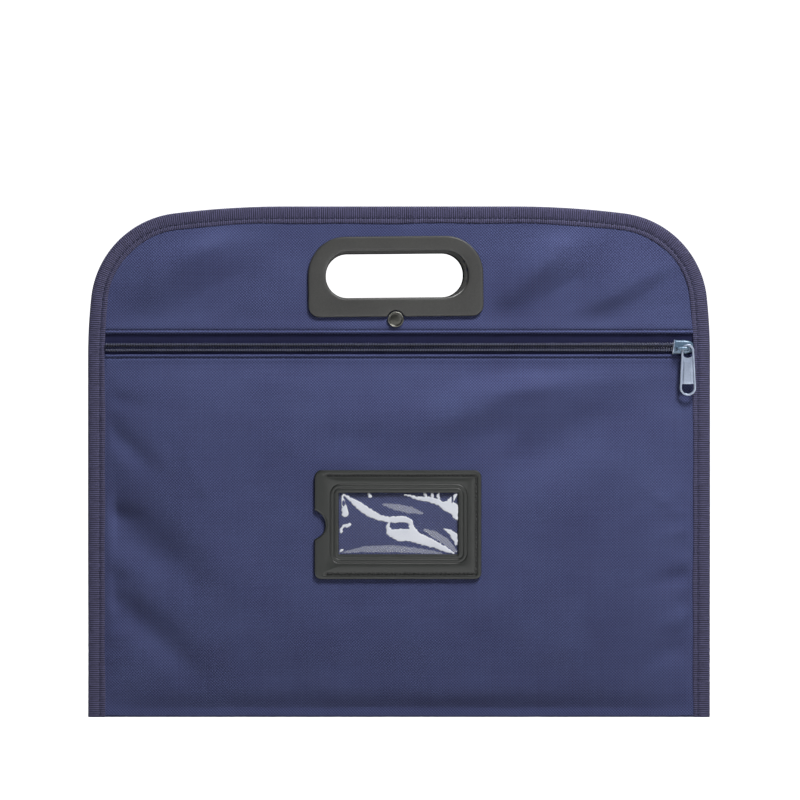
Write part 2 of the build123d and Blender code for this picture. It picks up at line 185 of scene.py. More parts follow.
def tube_faces(rows: int, columns: int, closed: bool = False) -> Array:
    """Quads of a tube of closed rings: its wall, and both its ends unless it joins itself."""
    quads = [lattice(rows, columns, closed, True)]
    if not closed:
        quads += [ladder(columns, 0), ladder(columns, (rows - 1) * columns)[:, ::-1]]
    return np.vstack(quads)


def unit(vectors: Array) -> Array:
    """Scales vectors to length one."""
    return vectors / np.maximum(np.linalg.norm(vectors, axis=-1, keepdims=True), 1e-12)


def sweep(path: Array, reference: Array, profile: Array, closed: bool = False) -> Shell:
    """Carries a closed profile along a path.

    A point is the path's point, plus the profile's first number along the direction square to the
    path and to the reference, plus its second number along the reference squared up to the path.

    Args:
        path: (n, 3) points.
        reference: A direction, or one for each point of the path, that is never along the path.
        profile: (k, 2) points, or (n, k, 2) for a profile that changes; k is even.
        closed: Whether the path joins its own start. If not, its ends are filled.

    Returns:
        A closed shell whose flat place runs along the path and round the profile.
    """
    if closed:
        along = np.roll(path, -1, 0) - np.roll(path, 1, 0)
    else:
        along = np.gradient(path, axis=0)
    along = unit(along)
    upright = unit(reference - along * np.sum(along * reference, axis=1, keepdims=True))
    across = np.cross(along, upright)
    shape = np.broadcast_to(profile, (len(path), *profile.shape[-2:]))
    points = path[:, None] + shape[..., :1] * across[:, None] + shape[..., 1:] * upright[:, None]
    rows, columns = points.shape[:2]
    steps = np.linalg.norm(np.diff(path, axis=0), axis=1)
    travel = np.concatenate([[0.0], np.cumsum(steps)])
    round_it = np.linalg.norm(np.diff(shape[0], axis=0), axis=1)
    turn = np.concatenate([[0.0], np.cumsum(round_it)])
    flat = np.stack(np.meshgrid(travel, turn, indexing="ij"), -1)
    return Shell(points.reshape(-1, 3), tube_faces(rows, columns, closed), flat.reshape(-1, 2)).turned_out()


def oval(across: float, deep: float, sides: int) -> Array:
    """Closed oval profile of two widths."""
    turn = np.linspace(0, 2 * np.pi, sides, endpoint=False) + np.pi / sides
    return np.stack([across / 2 * np.cos(turn), deep / 2 * np.sin(turn)], 1)


def revolve(profile: Array, x: float, z: float, sides: int = 64) -> Shell:
    """Turns a profile of radii and depths about an axis along Y.

    Args:
        profile: (k, 2) radius and y, whose first and last radius are 0.
        x: Place of the axis.
        z: Height of the axis.
        sides: Steps round the axis.

    Returns:
        A closed shell with a pole at each end of the profile.
    """
    turn = np.linspace(0, 2 * np.pi, sides, endpoint=False)
    radius, depth = profile[1:-1].T
    rings = np.stack([x + radius[:, None] * np.cos(turn), np.repeat(depth[:, None], sides, 1),
                      z + radius[:, None] * np.sin(turn)], -1)
    poles = np.array([[x, profile[0, 1], z], [x, profile[-1, 1], z]])
    points = np.vstack([rings.reshape(-1, 3), poles])
    step = np.arange(sides)
    after = (step + 1) % sides
    last = (len(radius) - 1) * sides
    first_pole = np.full(sides, len(points) - 2)
    fans = [np.stack([after, step, first_pole], 1),
            np.stack([last + step, last + after, first_pole + 1], 1)]
    flat = np.stack([points[:, 0] - x, points[:, 2] - z], 1)
    return Shell(points, lattice(len(radius), sides, False, True), flat, np.vstack(fans)).turned_out()


def rounded_loop(sides: Array, radii: tuple[float, float, float, float], inset: float = 0.0,
                 side_points: int = 60, corner_points: int = 12) -> Array:
    """Closed loop round a rectangle with rounded corners, clockwise from its top left corner.

    Args:
        sides: Left, right, low and high side.
        radii: Corner radii at the top left, top right, low right and low left.
        inset: How far the loop is drawn in; the radii shrink with it.
        side_points: Points along each straight side.
        corner_points: Points round each corner.

    Returns:
        (n, 2) places in X and Z, the same number for any size, so that loops pair up.
    """
    left, right, low, high = sides + np.array([1, -1, 1, -1]) * inset
    radius = np.maximum(np.array(radii) - inset, 0.25)
    centre_x = np.array([left, right, right, left]) + np.array([1, -1, -1, 1]) * radius
    centre_z = np.array([high, high, low, low]) + np.array([-1, -1, 1, 1]) * radius
    start = np.radians([180.0, 90.0, 0.0, -90.0])
    turn = start[:, None] - np.linspace(0, np.pi / 2, corner_points)[None, :]
    arcs = np.stack([centre_x[:, None] + radius[:, None] * np.cos(turn),
                     centre_z[:, None] + radius[:, None] * np.sin(turn)], -1)
    ends, nexts = arcs[:, -1], np.roll(arcs[:, 0], -1, 0)
    share = np.linspace(0, 1, side_points + 2)[1:-1][None, :, None]
    lines = ends[:, None] + (nexts - ends)[:, None] * share
    return np.concatenate([arcs, lines], 1).reshape(-1, 2)


def lofted(loops: list[Array], depths: list[float], close: bool) -> Shell:
    """Joins closed XZ loops of equal length, each at its own depth along Y.

    Args:
        loops: (n, 2) loops.
        depths: The y of each loop.
        close: Whether the last loop joins the first; if not, both are filled across.

    Returns:
        A closed shell whose flat place is its X and Z.
    """
    places = np.array(loops)
    rows, columns = places.shape[:2]
    depth = np.broadcast_to(np.array(depths)[:, None], (rows, columns))
    points = np.stack([places[..., 0], depth, places[..., 1]], -1).reshape(-1, 3)
    return Shell(points, tube_faces(rows, columns, close), points[:, [0, 2]].copy()).turned_out()


def double_wall(grid: Array, flat: Array, thickness: float, keep: Array | None = None) -> Shell:
    """Gives a grid of cloth its thickness: a second layer along its normals, and a rim between them.

    Args:
        grid: (rows, columns, 3) places of the outer face.
        flat: (rows, columns, 2) flat places.
        thickness: Cloth thickness, towards the inside. A negative one goes the other way.
        keep: Which of the grid's quads are kept, where there is an opening.

    Returns:
        A closed shell.
    """
    rows, columns = grid.shape[:2]
    normal = unit(np.cross(np.gradient(grid, axis=1), np.gradient(grid, axis=0)))
    outer = grid.reshape(-1, 3)
    inner = outer - normal.reshape(-1, 3) * thickness
    quads = lattice(rows, columns)
    if keep is not None:
        quads = quads[keep.ravel()]
    count = len(outer)
    edges = np.vstack([quads[:, [0, 1]], quads[:, [1, 2]], quads[:, [2, 3]], quads[:, [3, 0]]])
    key = np.sort(edges, 1) @ np.array([count, 1])
    _, first, uses = np.unique(key, return_index=True, return_counts=True)
    rim = edges[first[uses == 1]]
    rim = np.stack([rim[:, 1], rim[:, 0], rim[:, 0] + count, rim[:, 1] + count], 1)
    both = np.vstack([flat.reshape(-1, 2)] * 2)
    shell = Shell(np.vstack([outer, inner]), np.vstack([quads, quads[:, ::-1] + count, rim]), both)
    used = np.unique(shell.quads)
    renumber = np.zeros(len(shell.points), int)
    renumber[used] = np.arange(len(used))
    return Shell(shell.points[used], renumber[shell.quads], shell.flat[used]).turned_out()


def stitch_row(middles: Array, along: Array, out: Array, length: float, width: float) -> Shell:
    """Short thread loops that rise from the cloth and dive back, one at each middle.

    Along a loop its thickness goes as the root of a half sine, and its height as the half sine, so
    that both ends sink below the surface.

    Args:
        middles: (n, 3) places on the surface.
        along: (n, 3) unit directions of the row.
        out: (n, 3) unit directions away from the cloth.
        length: Length of one loop.
        width: Thread width.

    Returns:
        Closed loops in one shell, whose flat place runs along the thread and round it.
    """
    rings, sides = 6, 6
    share = np.linspace(0.04, 0.96, rings)
    bulge = np.sin(np.pi * share)
    radius = width / 2 * np.sqrt(bulge)
    height = width * (0.75 * bulge - 0.4)
    turn = np.linspace(0, 2 * np.pi, sides, endpoint=False)
    run = np.repeat((share - 0.5) * length, sides)
    sideways = (radius[:, None] * np.cos(turn)).ravel()
    lift = (height[:, None] + radius[:, None] * np.sin(turn) * 0.8).ravel()
    run = np.concatenate([run, [-length / 2, length / 2]])
    sideways = np.concatenate([sideways, [0.0, 0.0]])
    lift = np.concatenate([lift, [-0.4 * width, -0.4 * width]])
    across = np.cross(along, out)
    points = (middles[:, None] + along[:, None] * run[:, None] + across[:, None] * sideways[:, None]
              + out[:, None] * lift[:, None])
    step = np.arange(sides)
    after = (step + 1) % sides
    last = (rings - 1) * sides
    pole = np.full(sides, rings * sides)
    quads = lattice(rings, sides, False, True)
    fans = np.vstack([np.stack([after, step, pole], 1),
                      np.stack([last + step, last + after, pole + 1], 1)])
    size = rings * sides + 2
    start = (np.arange(len(middles)) * size)[:, None, None]
    flat = np.stack([run, np.append(np.tile(turn * width / 2, rings), [0.0, 0.0])], 1)
    return Shell(points.reshape(-1, 3), (quads + start).reshape(-1, 4), np.tile(flat, (len(middles), 1)),
                 (fans + start).reshape(-1, 3)).turned_out()


def straight_stitches(start: Array, end: Array, out: Array, length: float, width: float,
                      pitch: float) -> Shell:
    """Row of stitches on a straight line.

    Args:
        start: First end of the line.
        end: Other end.
        out: Direction away from the cloth.
        length: Length of one loop.
        width: Thread width.
        pitch: Distance between loops.

    Returns:
        Closed loops in one shell.
    """
    span = float(np.linalg.norm(end - start))
    count = max(int(span / pitch), 1)
    share = (np.arange(count) + 0.5) / count
    middles = start + (end - start) * share[:, None]
    along = np.repeat(unit(end - start)[None], count, 0)
    return stitch_row(middles, along, np.repeat(out[None], count, 0), length, width)


def place(name: str, shell: Shell, material: bpy.types.Material, sharp: float = 38.0) -> bpy.types.Object:
    """Makes a shell into a piece at the origin, with smooth faces and its flat place as an attribute.

    Args:
        name: The piece's name.
        shell: Points in millimetres and faces.
        material: The piece's finish.
        sharp: Edges that turn by more than this many degrees stay sharp.

    Returns:
        The new object.
    """
    mesh = bpy.data.meshes.new(name)
    mesh.from_pydata((shell.points * MM).tolist(), [], shell.quads.tolist() + shell.triangles.tolist())
    attribute = mesh.attributes.new(FLAT_PLACE, "FLOAT_VECTOR", "POINT")
    flat = np.column_stack([shell.flat, np.zeros(len(shell.flat))]).astype(np.float32)
    attribute.data.foreach_set("vector", flat.ravel())
    mesh.polygons.foreach_set("use_smooth", np.ones(len(mesh.polygons), bool))
    mesh.set_sharp_from_angle(angle=math.radians(sharp))
    mesh.materials.append(material)
    mesh.update()
    made = bpy.data.objects.new(name, mesh)
    bpy.context.scene.collection.objects.link(made)
    LOG.info("%s: %d faces", name, len(mesh.polygons))
    return made


# ---------------------------------------------------------------------------------------------
# Finishes
# ---------------------------------------------------------------------------------------------


def add_node(tree: bpy.types.NodeTree, kind: str, settings: dict | None = None,
             inputs: dict | None = None) -> bpy.types.Node:
    """Adds one shader node.

    Args:
        tree: The material's node tree.
        kind: The node's type, without its "ShaderNode" prefix.
        settings: Its properties.
        inputs: For each socket, by name or number, a constant or the output that it is linked from.

    Returns:
        The node.
    """
    made = tree.nodes.new("ShaderNode" + kind)
    for name, value in (settings or {}).items():
        setattr(made, name, value)
    for key, value in (inputs or {}).items():
        if isinstance(value, bpy.types.NodeSocket):
            tree.links.new(value, made.inputs[key])
        else:
            made.inputs[key].default_value = value
    return made


@dataclass(frozen=True)
class Finish:
    """What every finish has.

    Attributes:
        name: The real material and how its surface was made.
        dark: Colour of its hollows, a painted shade, and of its darker threads.
        light: Colour of its crests, a painted highlight, and of its lighter threads.
        roughness: Roughness of its surface.
        settings: Other constants of the shader, by socket name.
    """

    name: str
    dark: str
    light: str
    roughness: float
    settings: tuple[tuple[str, float], ...] = ()

    def height(self, tree: bpy.types.NodeTree) -> tuple[bpy.types.NodeSocket, bpy.types.NodeSocket, float]:
        """Adds the pattern: its height and its share of the light colour, both 0 to 1, and its depth."""
        raise NotImplementedError

    def material(self) -> bpy.types.Material:
        """Makes the material: the pattern mixes the two colours and lifts the surface, so lifted places are
        painted lighter and hollows darker.
        """
        made = bpy.data.materials.new(self.name)
        made.use_nodes = True
        tree = made.node_tree
        tree.nodes.clear()
        height, share, depth = self.height(tree)
        colour = add_node(tree, "Mix", {"data_type": "RGBA"},
                          {"Factor": share, 6: linear(self.dark), 7: linear(self.light)})
        bump = add_node(tree, "Bump", None, {"Strength": 1.0, "Distance": depth * MM, "Height": height})
        inputs = {"Base Color": colour.outputs[2], "Roughness": self.roughness, "Normal": bump.outputs[0]}
        shader = add_node(tree, "BsdfPrincipled", None, inputs | dict(self.settings))
        add_node(tree, "OutputMaterial", None, {"Surface": shader.outputs[0]})
        return made


@dataclass(frozen=True)
class Woven(Finish):
    """Cloth or tape woven of crossing yarns: a product of two sines lifts each crossing in turn.

    Attributes:
        across_pitch: Yarn spacing along the first flat direction, in millimetres.
        along_pitch: Yarn spacing along the second.
        yarn_depth: How far a yarn stands over its neighbours.
        yarn_contrast: Share of the colours that the crossings take, painted lighter where a crossing is
            lifted and darker between: painted highlight and shade.
        slub: Share that uneven yarns take.
        mottle: Share that slow changes of tone take.
    """

    across_pitch: float = 0.9
    along_pitch: float = 0.9
    yarn_depth: float = 0.12
    yarn_contrast: float = 0.3
    slub: float = 0.3
    mottle: float = 0.3

    def height(self, tree: bpy.types.NodeTree) -> tuple[bpy.types.NodeSocket, bpy.types.NodeSocket, float]:
        """Adds the crossings, the uneven yarns both ways and the slow mottling."""
        flat = add_node(tree, "Attribute", {"attribute_name": FLAT_PLACE}).outputs["Vector"]
        axes = add_node(tree, "SeparateXYZ", None, {0: flat})
        waves = []
        for axis, pitch in enumerate((self.across_pitch, self.along_pitch)):
            angle = add_node(tree, "Math", {"operation": "MULTIPLY"},
                             {0: axes.outputs[axis], 1: math.pi / pitch})
            waves.append(add_node(tree, "Math", {"operation": "SINE"}, {0: angle.outputs[0]}).outputs[0])
        crossing = add_node(tree, "Math", {"operation": "MULTIPLY"}, {0: waves[0], 1: waves[1]}).outputs[0]
        share = add_node(tree, "Math", {"operation": "MULTIPLY_ADD"},
                         {0: crossing, 1: self.yarn_contrast / 2, 2: 0.5}).outputs[0]
        stretches = (((1 / self.across_pitch, 0.02, 1.0), self.slub),
                     ((0.02, 1 / self.along_pitch, 1.0), self.slub),
                     ((0.022, 0.03, 1.0), self.mottle))
        for stretch, amount in stretches:
            scaled = add_node(tree, "Mapping", None, {"Vector": flat, "Scale": stretch})
            noise = add_node(tree, "TexNoise", None,
                             {"Vector": scaled.outputs[0], "Scale": 1.0, "Detail": 2.0})
            level = add_node(tree, "Math", {"operation": "SUBTRACT"}, {0: noise.outputs[0], 1: 0.5})
            share = add_node(tree, "Math", {"operation": "MULTIPLY_ADD"},
                             {0: level.outputs[0], 1: amount * 2, 2: share}).outputs[0]
        share = add_node(tree, "Clamp", None, {0: share}).outputs[0]
        return crossing, share, self.yarn_depth


@dataclass(frozen=True)
class Ribbed(Finish):
    """Thread, cord or ribbed tape: crests at a slant to its length, with uneven fibres.

    Attributes:
        pitch: Crest spacing along the piece, in millimetres.
        slant: Crests moved along for each millimetre across.
        crest_depth: How far a crest stands up.
        crest_contrast: Share of the colours that the crests take, painted lighter on the crests and darker
            between: painted highlight and shade.
        fibres: Share that uneven fibres take.
    """

    pitch: float = 1.0
    slant: float = 0.0
    crest_depth: float = 0.05
    crest_contrast: float = 0.5
    fibres: float = 0.5

    def height(self, tree: bpy.types.NodeTree) -> tuple[bpy.types.NodeSocket, bpy.types.NodeSocket, float]:
        """Adds the crests and the uneven fibres."""
        flat = add_node(tree, "Attribute", {"attribute_name": FLAT_PLACE}).outputs["Vector"]
        axes = add_node(tree, "SeparateXYZ", None, {0: flat})
        slanted = add_node(tree, "Math", {"operation": "MULTIPLY_ADD"},
                           {0: axes.outputs[1], 1: self.slant, 2: axes.outputs[0]})
        angle = add_node(tree, "Math", {"operation": "MULTIPLY"},
                         {0: slanted.outputs[0], 1: 2 * math.pi / self.pitch})
        crest = add_node(tree, "Math", {"operation": "COSINE"}, {0: angle.outputs[0]}).outputs[0]
        scaled = add_node(tree, "Mapping", None, {"Vector": flat, "Scale": (0.8 / self.pitch, 0.12, 1.0)})
        noise = add_node(tree, "TexNoise", None, {"Vector": scaled.outputs[0], "Scale": 1.0, "Detail": 3.0})
        level = add_node(tree, "Math", {"operation": "SUBTRACT"}, {0: noise.outputs[0], 1: 0.5})
        share = add_node(tree, "Math", {"operation": "MULTIPLY_ADD"},
                         {0: level.outputs[0], 1: self.fibres * 2, 2: 0.5})
        share = add_node(tree, "Math", {"operation": "MULTIPLY_ADD"},
                         {0: crest, 1: self.crest_contrast / 2, 2: share.outputs[0]})
        share = add_node(tree, "Clamp", None, {0: share.outputs[0]}).outputs[0]
        return crest, share, self.crest_depth


@dataclass(frozen=True)
class Grained(Finish):
    """Moulded, painted or plated solid: fine grain over slow unevenness.

    Attributes:
        grain: Grain size in millimetres.
        grain_depth: How deep the grain is.
        cloud: Size of the slow changes of tone, in millimetres.
        cloud_share: Share of the colours that they take.
    """

    grain: float = 0.5
    grain_depth: float = 0.02
    cloud: float = 20.0
    cloud_share: float = 0.6

    def height(self, tree: bpy.types.NodeTree) -> tuple[bpy.types.NodeSocket, bpy.types.NodeSocket, float]:
        """Adds the grain and the clouds, both from the piece's own place in metres."""
        own = add_node(tree, "TexCoord").outputs["Object"]
        grain = add_node(tree, "TexNoise", None,
                         {"Vector": own, "Scale": 1 / (self.grain * MM), "Detail": 2.0})
        cloud = add_node(tree, "TexNoise", None,
                         {"Vector": own, "Scale": 1 / (self.cloud * MM), "Detail": 3.0})
        level = add_node(tree, "Math", {"operation": "SUBTRACT"}, {0: cloud.outputs[0], 1: 0.5})
        share = add_node(tree, "Math", {"operation": "MULTIPLY_ADD"},
                         {0: level.outputs[0], 1: self.cloud_share * 2, 2: grain.outputs[0]})
        share = add_node(tree, "Clamp", None, {0: share.outputs[0]}).outputs[0]
        return grain.outputs[0], share, self.grain_depth


@dataclass(frozen=True)
class PaintedHighlightFilm(Grained):
    """Clear film that turns white where it is creased: a painted highlight, white opacity that stands in for
    the reflections of the lights on the creases.

    Attributes:
        clear: Opacity of the flat film.
        creased: Opacity of the painted highlight that a full crease adds.
    """

    clear: float = 0.012
    creased: float = 0.86

    def material(self) -> bpy.types.Material:
        """Makes the material: its opacity follows the painted highlight kept with the mesh."""
        made = super().material()
        tree = made.node_tree
        shader = next(node for node in tree.nodes if node.type == "BSDF_PRINCIPLED")
        painted_highlight = add_node(tree, "Attribute", {"attribute_name": PAINTED_HIGHLIGHT_ATTRIBUTE}).outputs["Fac"]
        opacity = add_node(tree, "Math", {"operation": "MULTIPLY_ADD"},
                           {0: painted_highlight, 1: self.creased, 2: self.clear})
        tree.links.new(opacity.outputs[0], shader.inputs["Alpha"])
        return made


# Polyester oxford, plain woven and coated on the inside: navy and matt; the raised crossings are painted
# paler, a painted highlight, and the hollows darker, a painted shade. The real yarns are about 0.5 mm apart;
# they are drawn at 0.9 mm, the finest that shows.
OXFORD = Woven("polyester_oxford_woven", "#2b2a50", "#525c88", 0.78,
               (("Sheen Weight", 0.05), ("Sheen Roughness", 0.5), ("Specular IOR Level", 0.2)),
               across_pitch=0.9, along_pitch=0.9, yarn_depth=0.1, yarn_contrast=0.95, slub=0.1, mottle=0.2)
# Polyester grosgrain binding: the weft ribs are real shape, 1.3 mm apart; the finish paints their crests
# lighter and their hollows darker in step with them, a painted highlight and shade.
GROSGRAIN = Ribbed("polyester_grosgrain_ribbed", "#171627", "#545275", 0.66,
                   (("Sheen Weight", 0.06), ("Sheen Roughness", 0.4), ("Specular IOR Level", 0.25)),
                   pitch=1.3, crest_depth=0.05, crest_contrast=0.9, fibres=0.35)
# Spun polyester thread: three plies, twisted about every 0.9 mm.
THREAD = Ribbed("polyester_thread_twisted", "#0e1024", "#282c4e", 0.6,
                (("Sheen Weight", 0.05), ("Specular IOR Level", 0.25)),
                pitch=0.9, slant=0.8, crest_depth=0.04)
# Greyer thread that holds the coils, coloured lighter than the coil so that it shows as a row of ticks: a
# painted highlight of the turns.
ZIP_THREAD = Ribbed("polyester_zip_thread_twisted", "#3c3f57", "#70758c", 0.5,
                    (("Specular IOR Level", 0.4),), pitch=0.9, slant=0.8, crest_depth=0.04)
# Heavier black thread of the label holder.
LABEL_THREAD = Ribbed("bonded_nylon_thread_twisted", "#0c0c0d", "#2a2b2b", 0.45,
                      (("Specular IOR Level", 0.5),), pitch=0.9, slant=0.8, crest_depth=0.04)
# Herringbone zip tape of texturised polyester, dark navy, its colour darkened further to paint the shade of
# the slot it lies in.
ZIP_TAPE = Woven("polyester_zip_tape_woven", "#0f1130", "#1c1f45", 0.8,
                 (("Sheen Weight", 0.1), ("Specular IOR Level", 0.2)),
                 across_pitch=0.8, along_pitch=0.5, yarn_depth=0.08)
# Dyed nylon monofilament, drawn and coiled: nearly black, with a soft gloss along each turn.
COIL = Grained("nylon_monofilament_drawn", "#12142a", "#333656", 0.25,
               (("Specular IOR Level", 0.5),), grain=0.3, grain_depth=0.01, cloud=6.0)
# Cotton core cord in the coil, coloured nearly black so that the gaps between the turns read dark: painted
# shade between the turns.
CORE = Ribbed("polyester_cord_laid", "#08090f", "#13141f", 0.9, (), pitch=0.8, slant=1.2)
# Zinc die casting, enamelled in a blue grey: smooth, with a soft orange peel.
ENAMEL = Grained("zinc_slider_enamelled", "#3a5064", "#5e7890", 0.34,
                 (("Coat Weight", 0.5), ("Coat Roughness", 0.15), ("Metallic", 0.25)),
                 grain=1.2, grain_depth=0.015, cloud=4.0)
# The pull has a paler metallic lacquer over the same casting.
LACQUER = Grained("zinc_pull_lacquered", "#8792a8", "#a9b4c8", 0.3,
                  (("Coat Weight", 0.4), ("Coat Roughness", 0.2), ("Metallic", 0.35)),
                  grain=0.6, grain_depth=0.012, cloud=5.0)
# Polypropylene, injection moulded in a spark eroded mould: charcoal with a fine even grain of 0.3 mm,
# drawn at 0.8 mm.
HANDLE_PLASTIC = Grained("polypropylene_moulded", "#282827", "#3c3c3a", 0.5,
                         (("Specular IOR Level", 0.45),), grain=0.8, grain_depth=0.02, cloud=30.0)
# Steel snap cap, plated gunmetal and brushed by wear.
GUNMETAL = Grained("steel_gunmetal_plated", "#2e2e2c", "#4a4a46", 0.38,
                   (("Metallic", 0.85),), grain=0.5, grain_depth=0.012, cloud=3.0)
# The rolled edge of the cap, drawn in a paler, brighter steel than the dark plating.
PALE_STEEL = Grained("steel_pale_ring", "#5c5c57", "#82827c", 0.34,
                 (("Metallic", 0.9),), grain=0.6, grain_depth=0.01, cloud=3.0)
# Flexible PVC, moulded, with an oily soft sheen.
SOFT_PVC = Grained("pvc_soft_moulded", "#101211", "#1e211e", 0.42,
                   (("Specular IOR Level", 0.42),), grain=0.7, grain_depth=0.025, cloud=25.0)
# Calendered clear PVC film: glossy and nearly invisible, and painted white on its creases as their
# highlight.
FILM = PaintedHighlightFilm("pvc_film_clear", "#d5d9e4", "#eef0f5", 0.12, (("Specular IOR Level", 0.6),))


# ---------------------------------------------------------------------------------------------
# The bag's outline and its cloth
# ---------------------------------------------------------------------------------------------


@dataclass(frozen=True)
class Outline:
    """Edge of the bag: a flat top, then three tangent arcs down to straight sides.

    Attributes:
        half_width: Half the width, from the CAD box.
        height: Height, from the CAD box.
        shoulder_radius: Radius of the first arc off the flat top.
        shoulder_turn: Its turn in degrees.
        corner_radius: Radius of the corner.
        side_radius: Radius of the last arc.
        side_turn: Its turn in degrees.
    """

    half_width: float
    height: float
    shoulder_radius: float = 540.0
    shoulder_turn: float = 7.2
    corner_radius: float = 58.0
    side_radius: float = 347.0
    side_turn: float = 6.0

    def right_half(self) -> tuple[Array, Array]:
        """Points and outward normals from the middle of the top to the foot of the right side."""
        shoulder, side = math.radians(self.shoulder_turn), math.radians(self.side_turn)
        big, corner, long = self.shoulder_radius, self.corner_radius, self.side_radius
        reach = (big - corner) * math.sin(shoulder) + (corner - long) * math.cos(side)
        top = self.half_width - long - reach
        corner_centre = np.array([top + (big - corner) * math.sin(shoulder),
                                  self.height - big + (big - corner) * math.cos(shoulder)])
        side_centre = corner_centre + (corner - long) * np.array([math.cos(side), math.sin(side)])
        arcs = ((np.array([top, self.height - big]), big, np.pi / 2, np.pi / 2 - shoulder, 80),
                (corner_centre, corner, np.pi / 2 - shoulder, side, 160),
                (side_centre, long, side, 0.0, 60))
        points = [np.column_stack([np.linspace(0, top, 60), np.full(60, self.height)])]
        normals = [np.tile([0.0, 1.0], (60, 1))]
        for centre, radius, first, last, count in arcs:
            turn = np.linspace(first, last, count)[1:]
            away = np.column_stack([np.cos(turn), np.sin(turn)])
            points.append(centre + radius * away)
            normals.append(away)
        foot = np.linspace(side_centre[1], 0, 160)[1:]
        points.append(np.column_stack([np.full(len(foot), self.half_width), foot]))
        normals.append(np.tile([1.0, 0.0], (len(foot), 1)))
        return np.vstack(points), np.vstack(normals)

    def path(self, inset: float, spacing: float, phase: float = 0.0) -> tuple[Array, Array]:
        """Even points along the edge from the foot of the left side over the top to the right foot.

        Args:
            inset: Distance inside the edge.
            spacing: Distance between points.
            phase: Where the first point is, as a share of the spacing.

        Returns:
            (n, 2) places in X and Z, and (n, 2) outward normals.
        """
        points, normals = self.right_half()
        mirror = np.array([-1.0, 1.0])
        normals = np.vstack([(normals * mirror)[:0:-1], normals])
        points = np.vstack([(points * mirror)[:0:-1], points]) - inset * normals
        travel = np.concatenate([[0.0], np.cumsum(np.linalg.norm(np.diff(points, axis=0), axis=1))])
        count = int(travel[-1] / spacing)
        where = (np.arange(count + 1) + phase) * travel[-1] / (count + 1 if phase else count)
        even = np.column_stack([np.interp(where, travel, points[:, axis]) for axis in (0, 1)])
        away = np.column_stack([np.interp(where, travel, normals[:, axis]) for axis in (0, 1)])
        return even, unit(away)

    def top_at(self, x: Array, inset: float) -> Array:
        """Height of the edge over a place across, drawn in by the inset."""
        points, normals = self.right_half()
        drawn = points - inset * normals
        return np.interp(np.abs(x), drawn[:, 0], drawn[:, 1])


@dataclass(frozen=True)
class Fold:
    """One soft ridge in cloth: a Gaussian across and along its line, towards the outside.

    Attributes:
        x: Its middle across the bag.
        z: Its middle's height.
        angle: Its direction, in degrees up from the right.
        length: Half its length.
        width: Half its width.
        rise: Its height, less than 0 for a hollow.
    """

    x: float
    z: float
    angle: float
    length: float
    width: float
    rise: float

    def height(self, x: Array, z: Array) -> Array:
        """Height of the ridge at each place."""
        turn = math.radians(self.angle)
        along = (x - self.x) * math.cos(turn) + (z - self.z) * math.sin(turn)
        across = (z - self.z) * math.cos(turn) - (x - self.x) * math.sin(turn)
        return self.rise * np.exp(-(along / self.length) ** 2 - (across / self.width) ** 2)


def ripples(x: Array, z: Array, size: float, seed: int) -> Array:
    """Smooth unevenness between about -1 and 1: a sum of twelve sine waves in seeded directions.

    Args:
        x: Places across.
        z: Heights.
        size: Typical wave length in millimetres.
        seed: Seed of the directions, lengths and phases.

    Returns:
        Heights without a unit.
    """
    dice = np.random.default_rng(seed)
    turn = dice.uniform(0, np.pi, 12)
    length = size * dice.uniform(0.7, 1.6, 12)
    phase = dice.uniform(0, 2 * np.pi, 12)
    shape = (12,) + (1,) * np.ndim(x)
    run = (np.cos(turn).reshape(shape) * x + np.sin(turn).reshape(shape) * z) / length.reshape(shape)
    return np.sin(2 * np.pi * run + phase.reshape(shape)).sum(0) / 4


def eased(value: Array, low: float, high: float) -> Array:
    """Smooth step from 0 at low to 1 at high."""
    share = np.clip((value - low) / (high - low), 0, 1)
    return share * share * (3 - 2 * share)


def spread(low: float, high: float, step: float, fine: list[tuple[float, float, float]]) -> Array:
    """Grid lines at a step, closer together in some stretches.

    Args:
        low: First line.
        high: Last line.
        step: Usual spacing.
        fine: (from, to, spacing) of each closer stretch.

    Returns:
        Sorted places.
    """
    lines = np.linspace(low, high, int((high - low) / step) + 1)
    for start, end, spacing in fine:
        lines = lines[(lines < start - spacing / 2) | (lines > end + spacing / 2)]
        lines = np.concatenate([lines, np.linspace(start, end, max(int((end - start) / spacing), 1) + 1)])
    return np.unique(np.round(lines, 4))


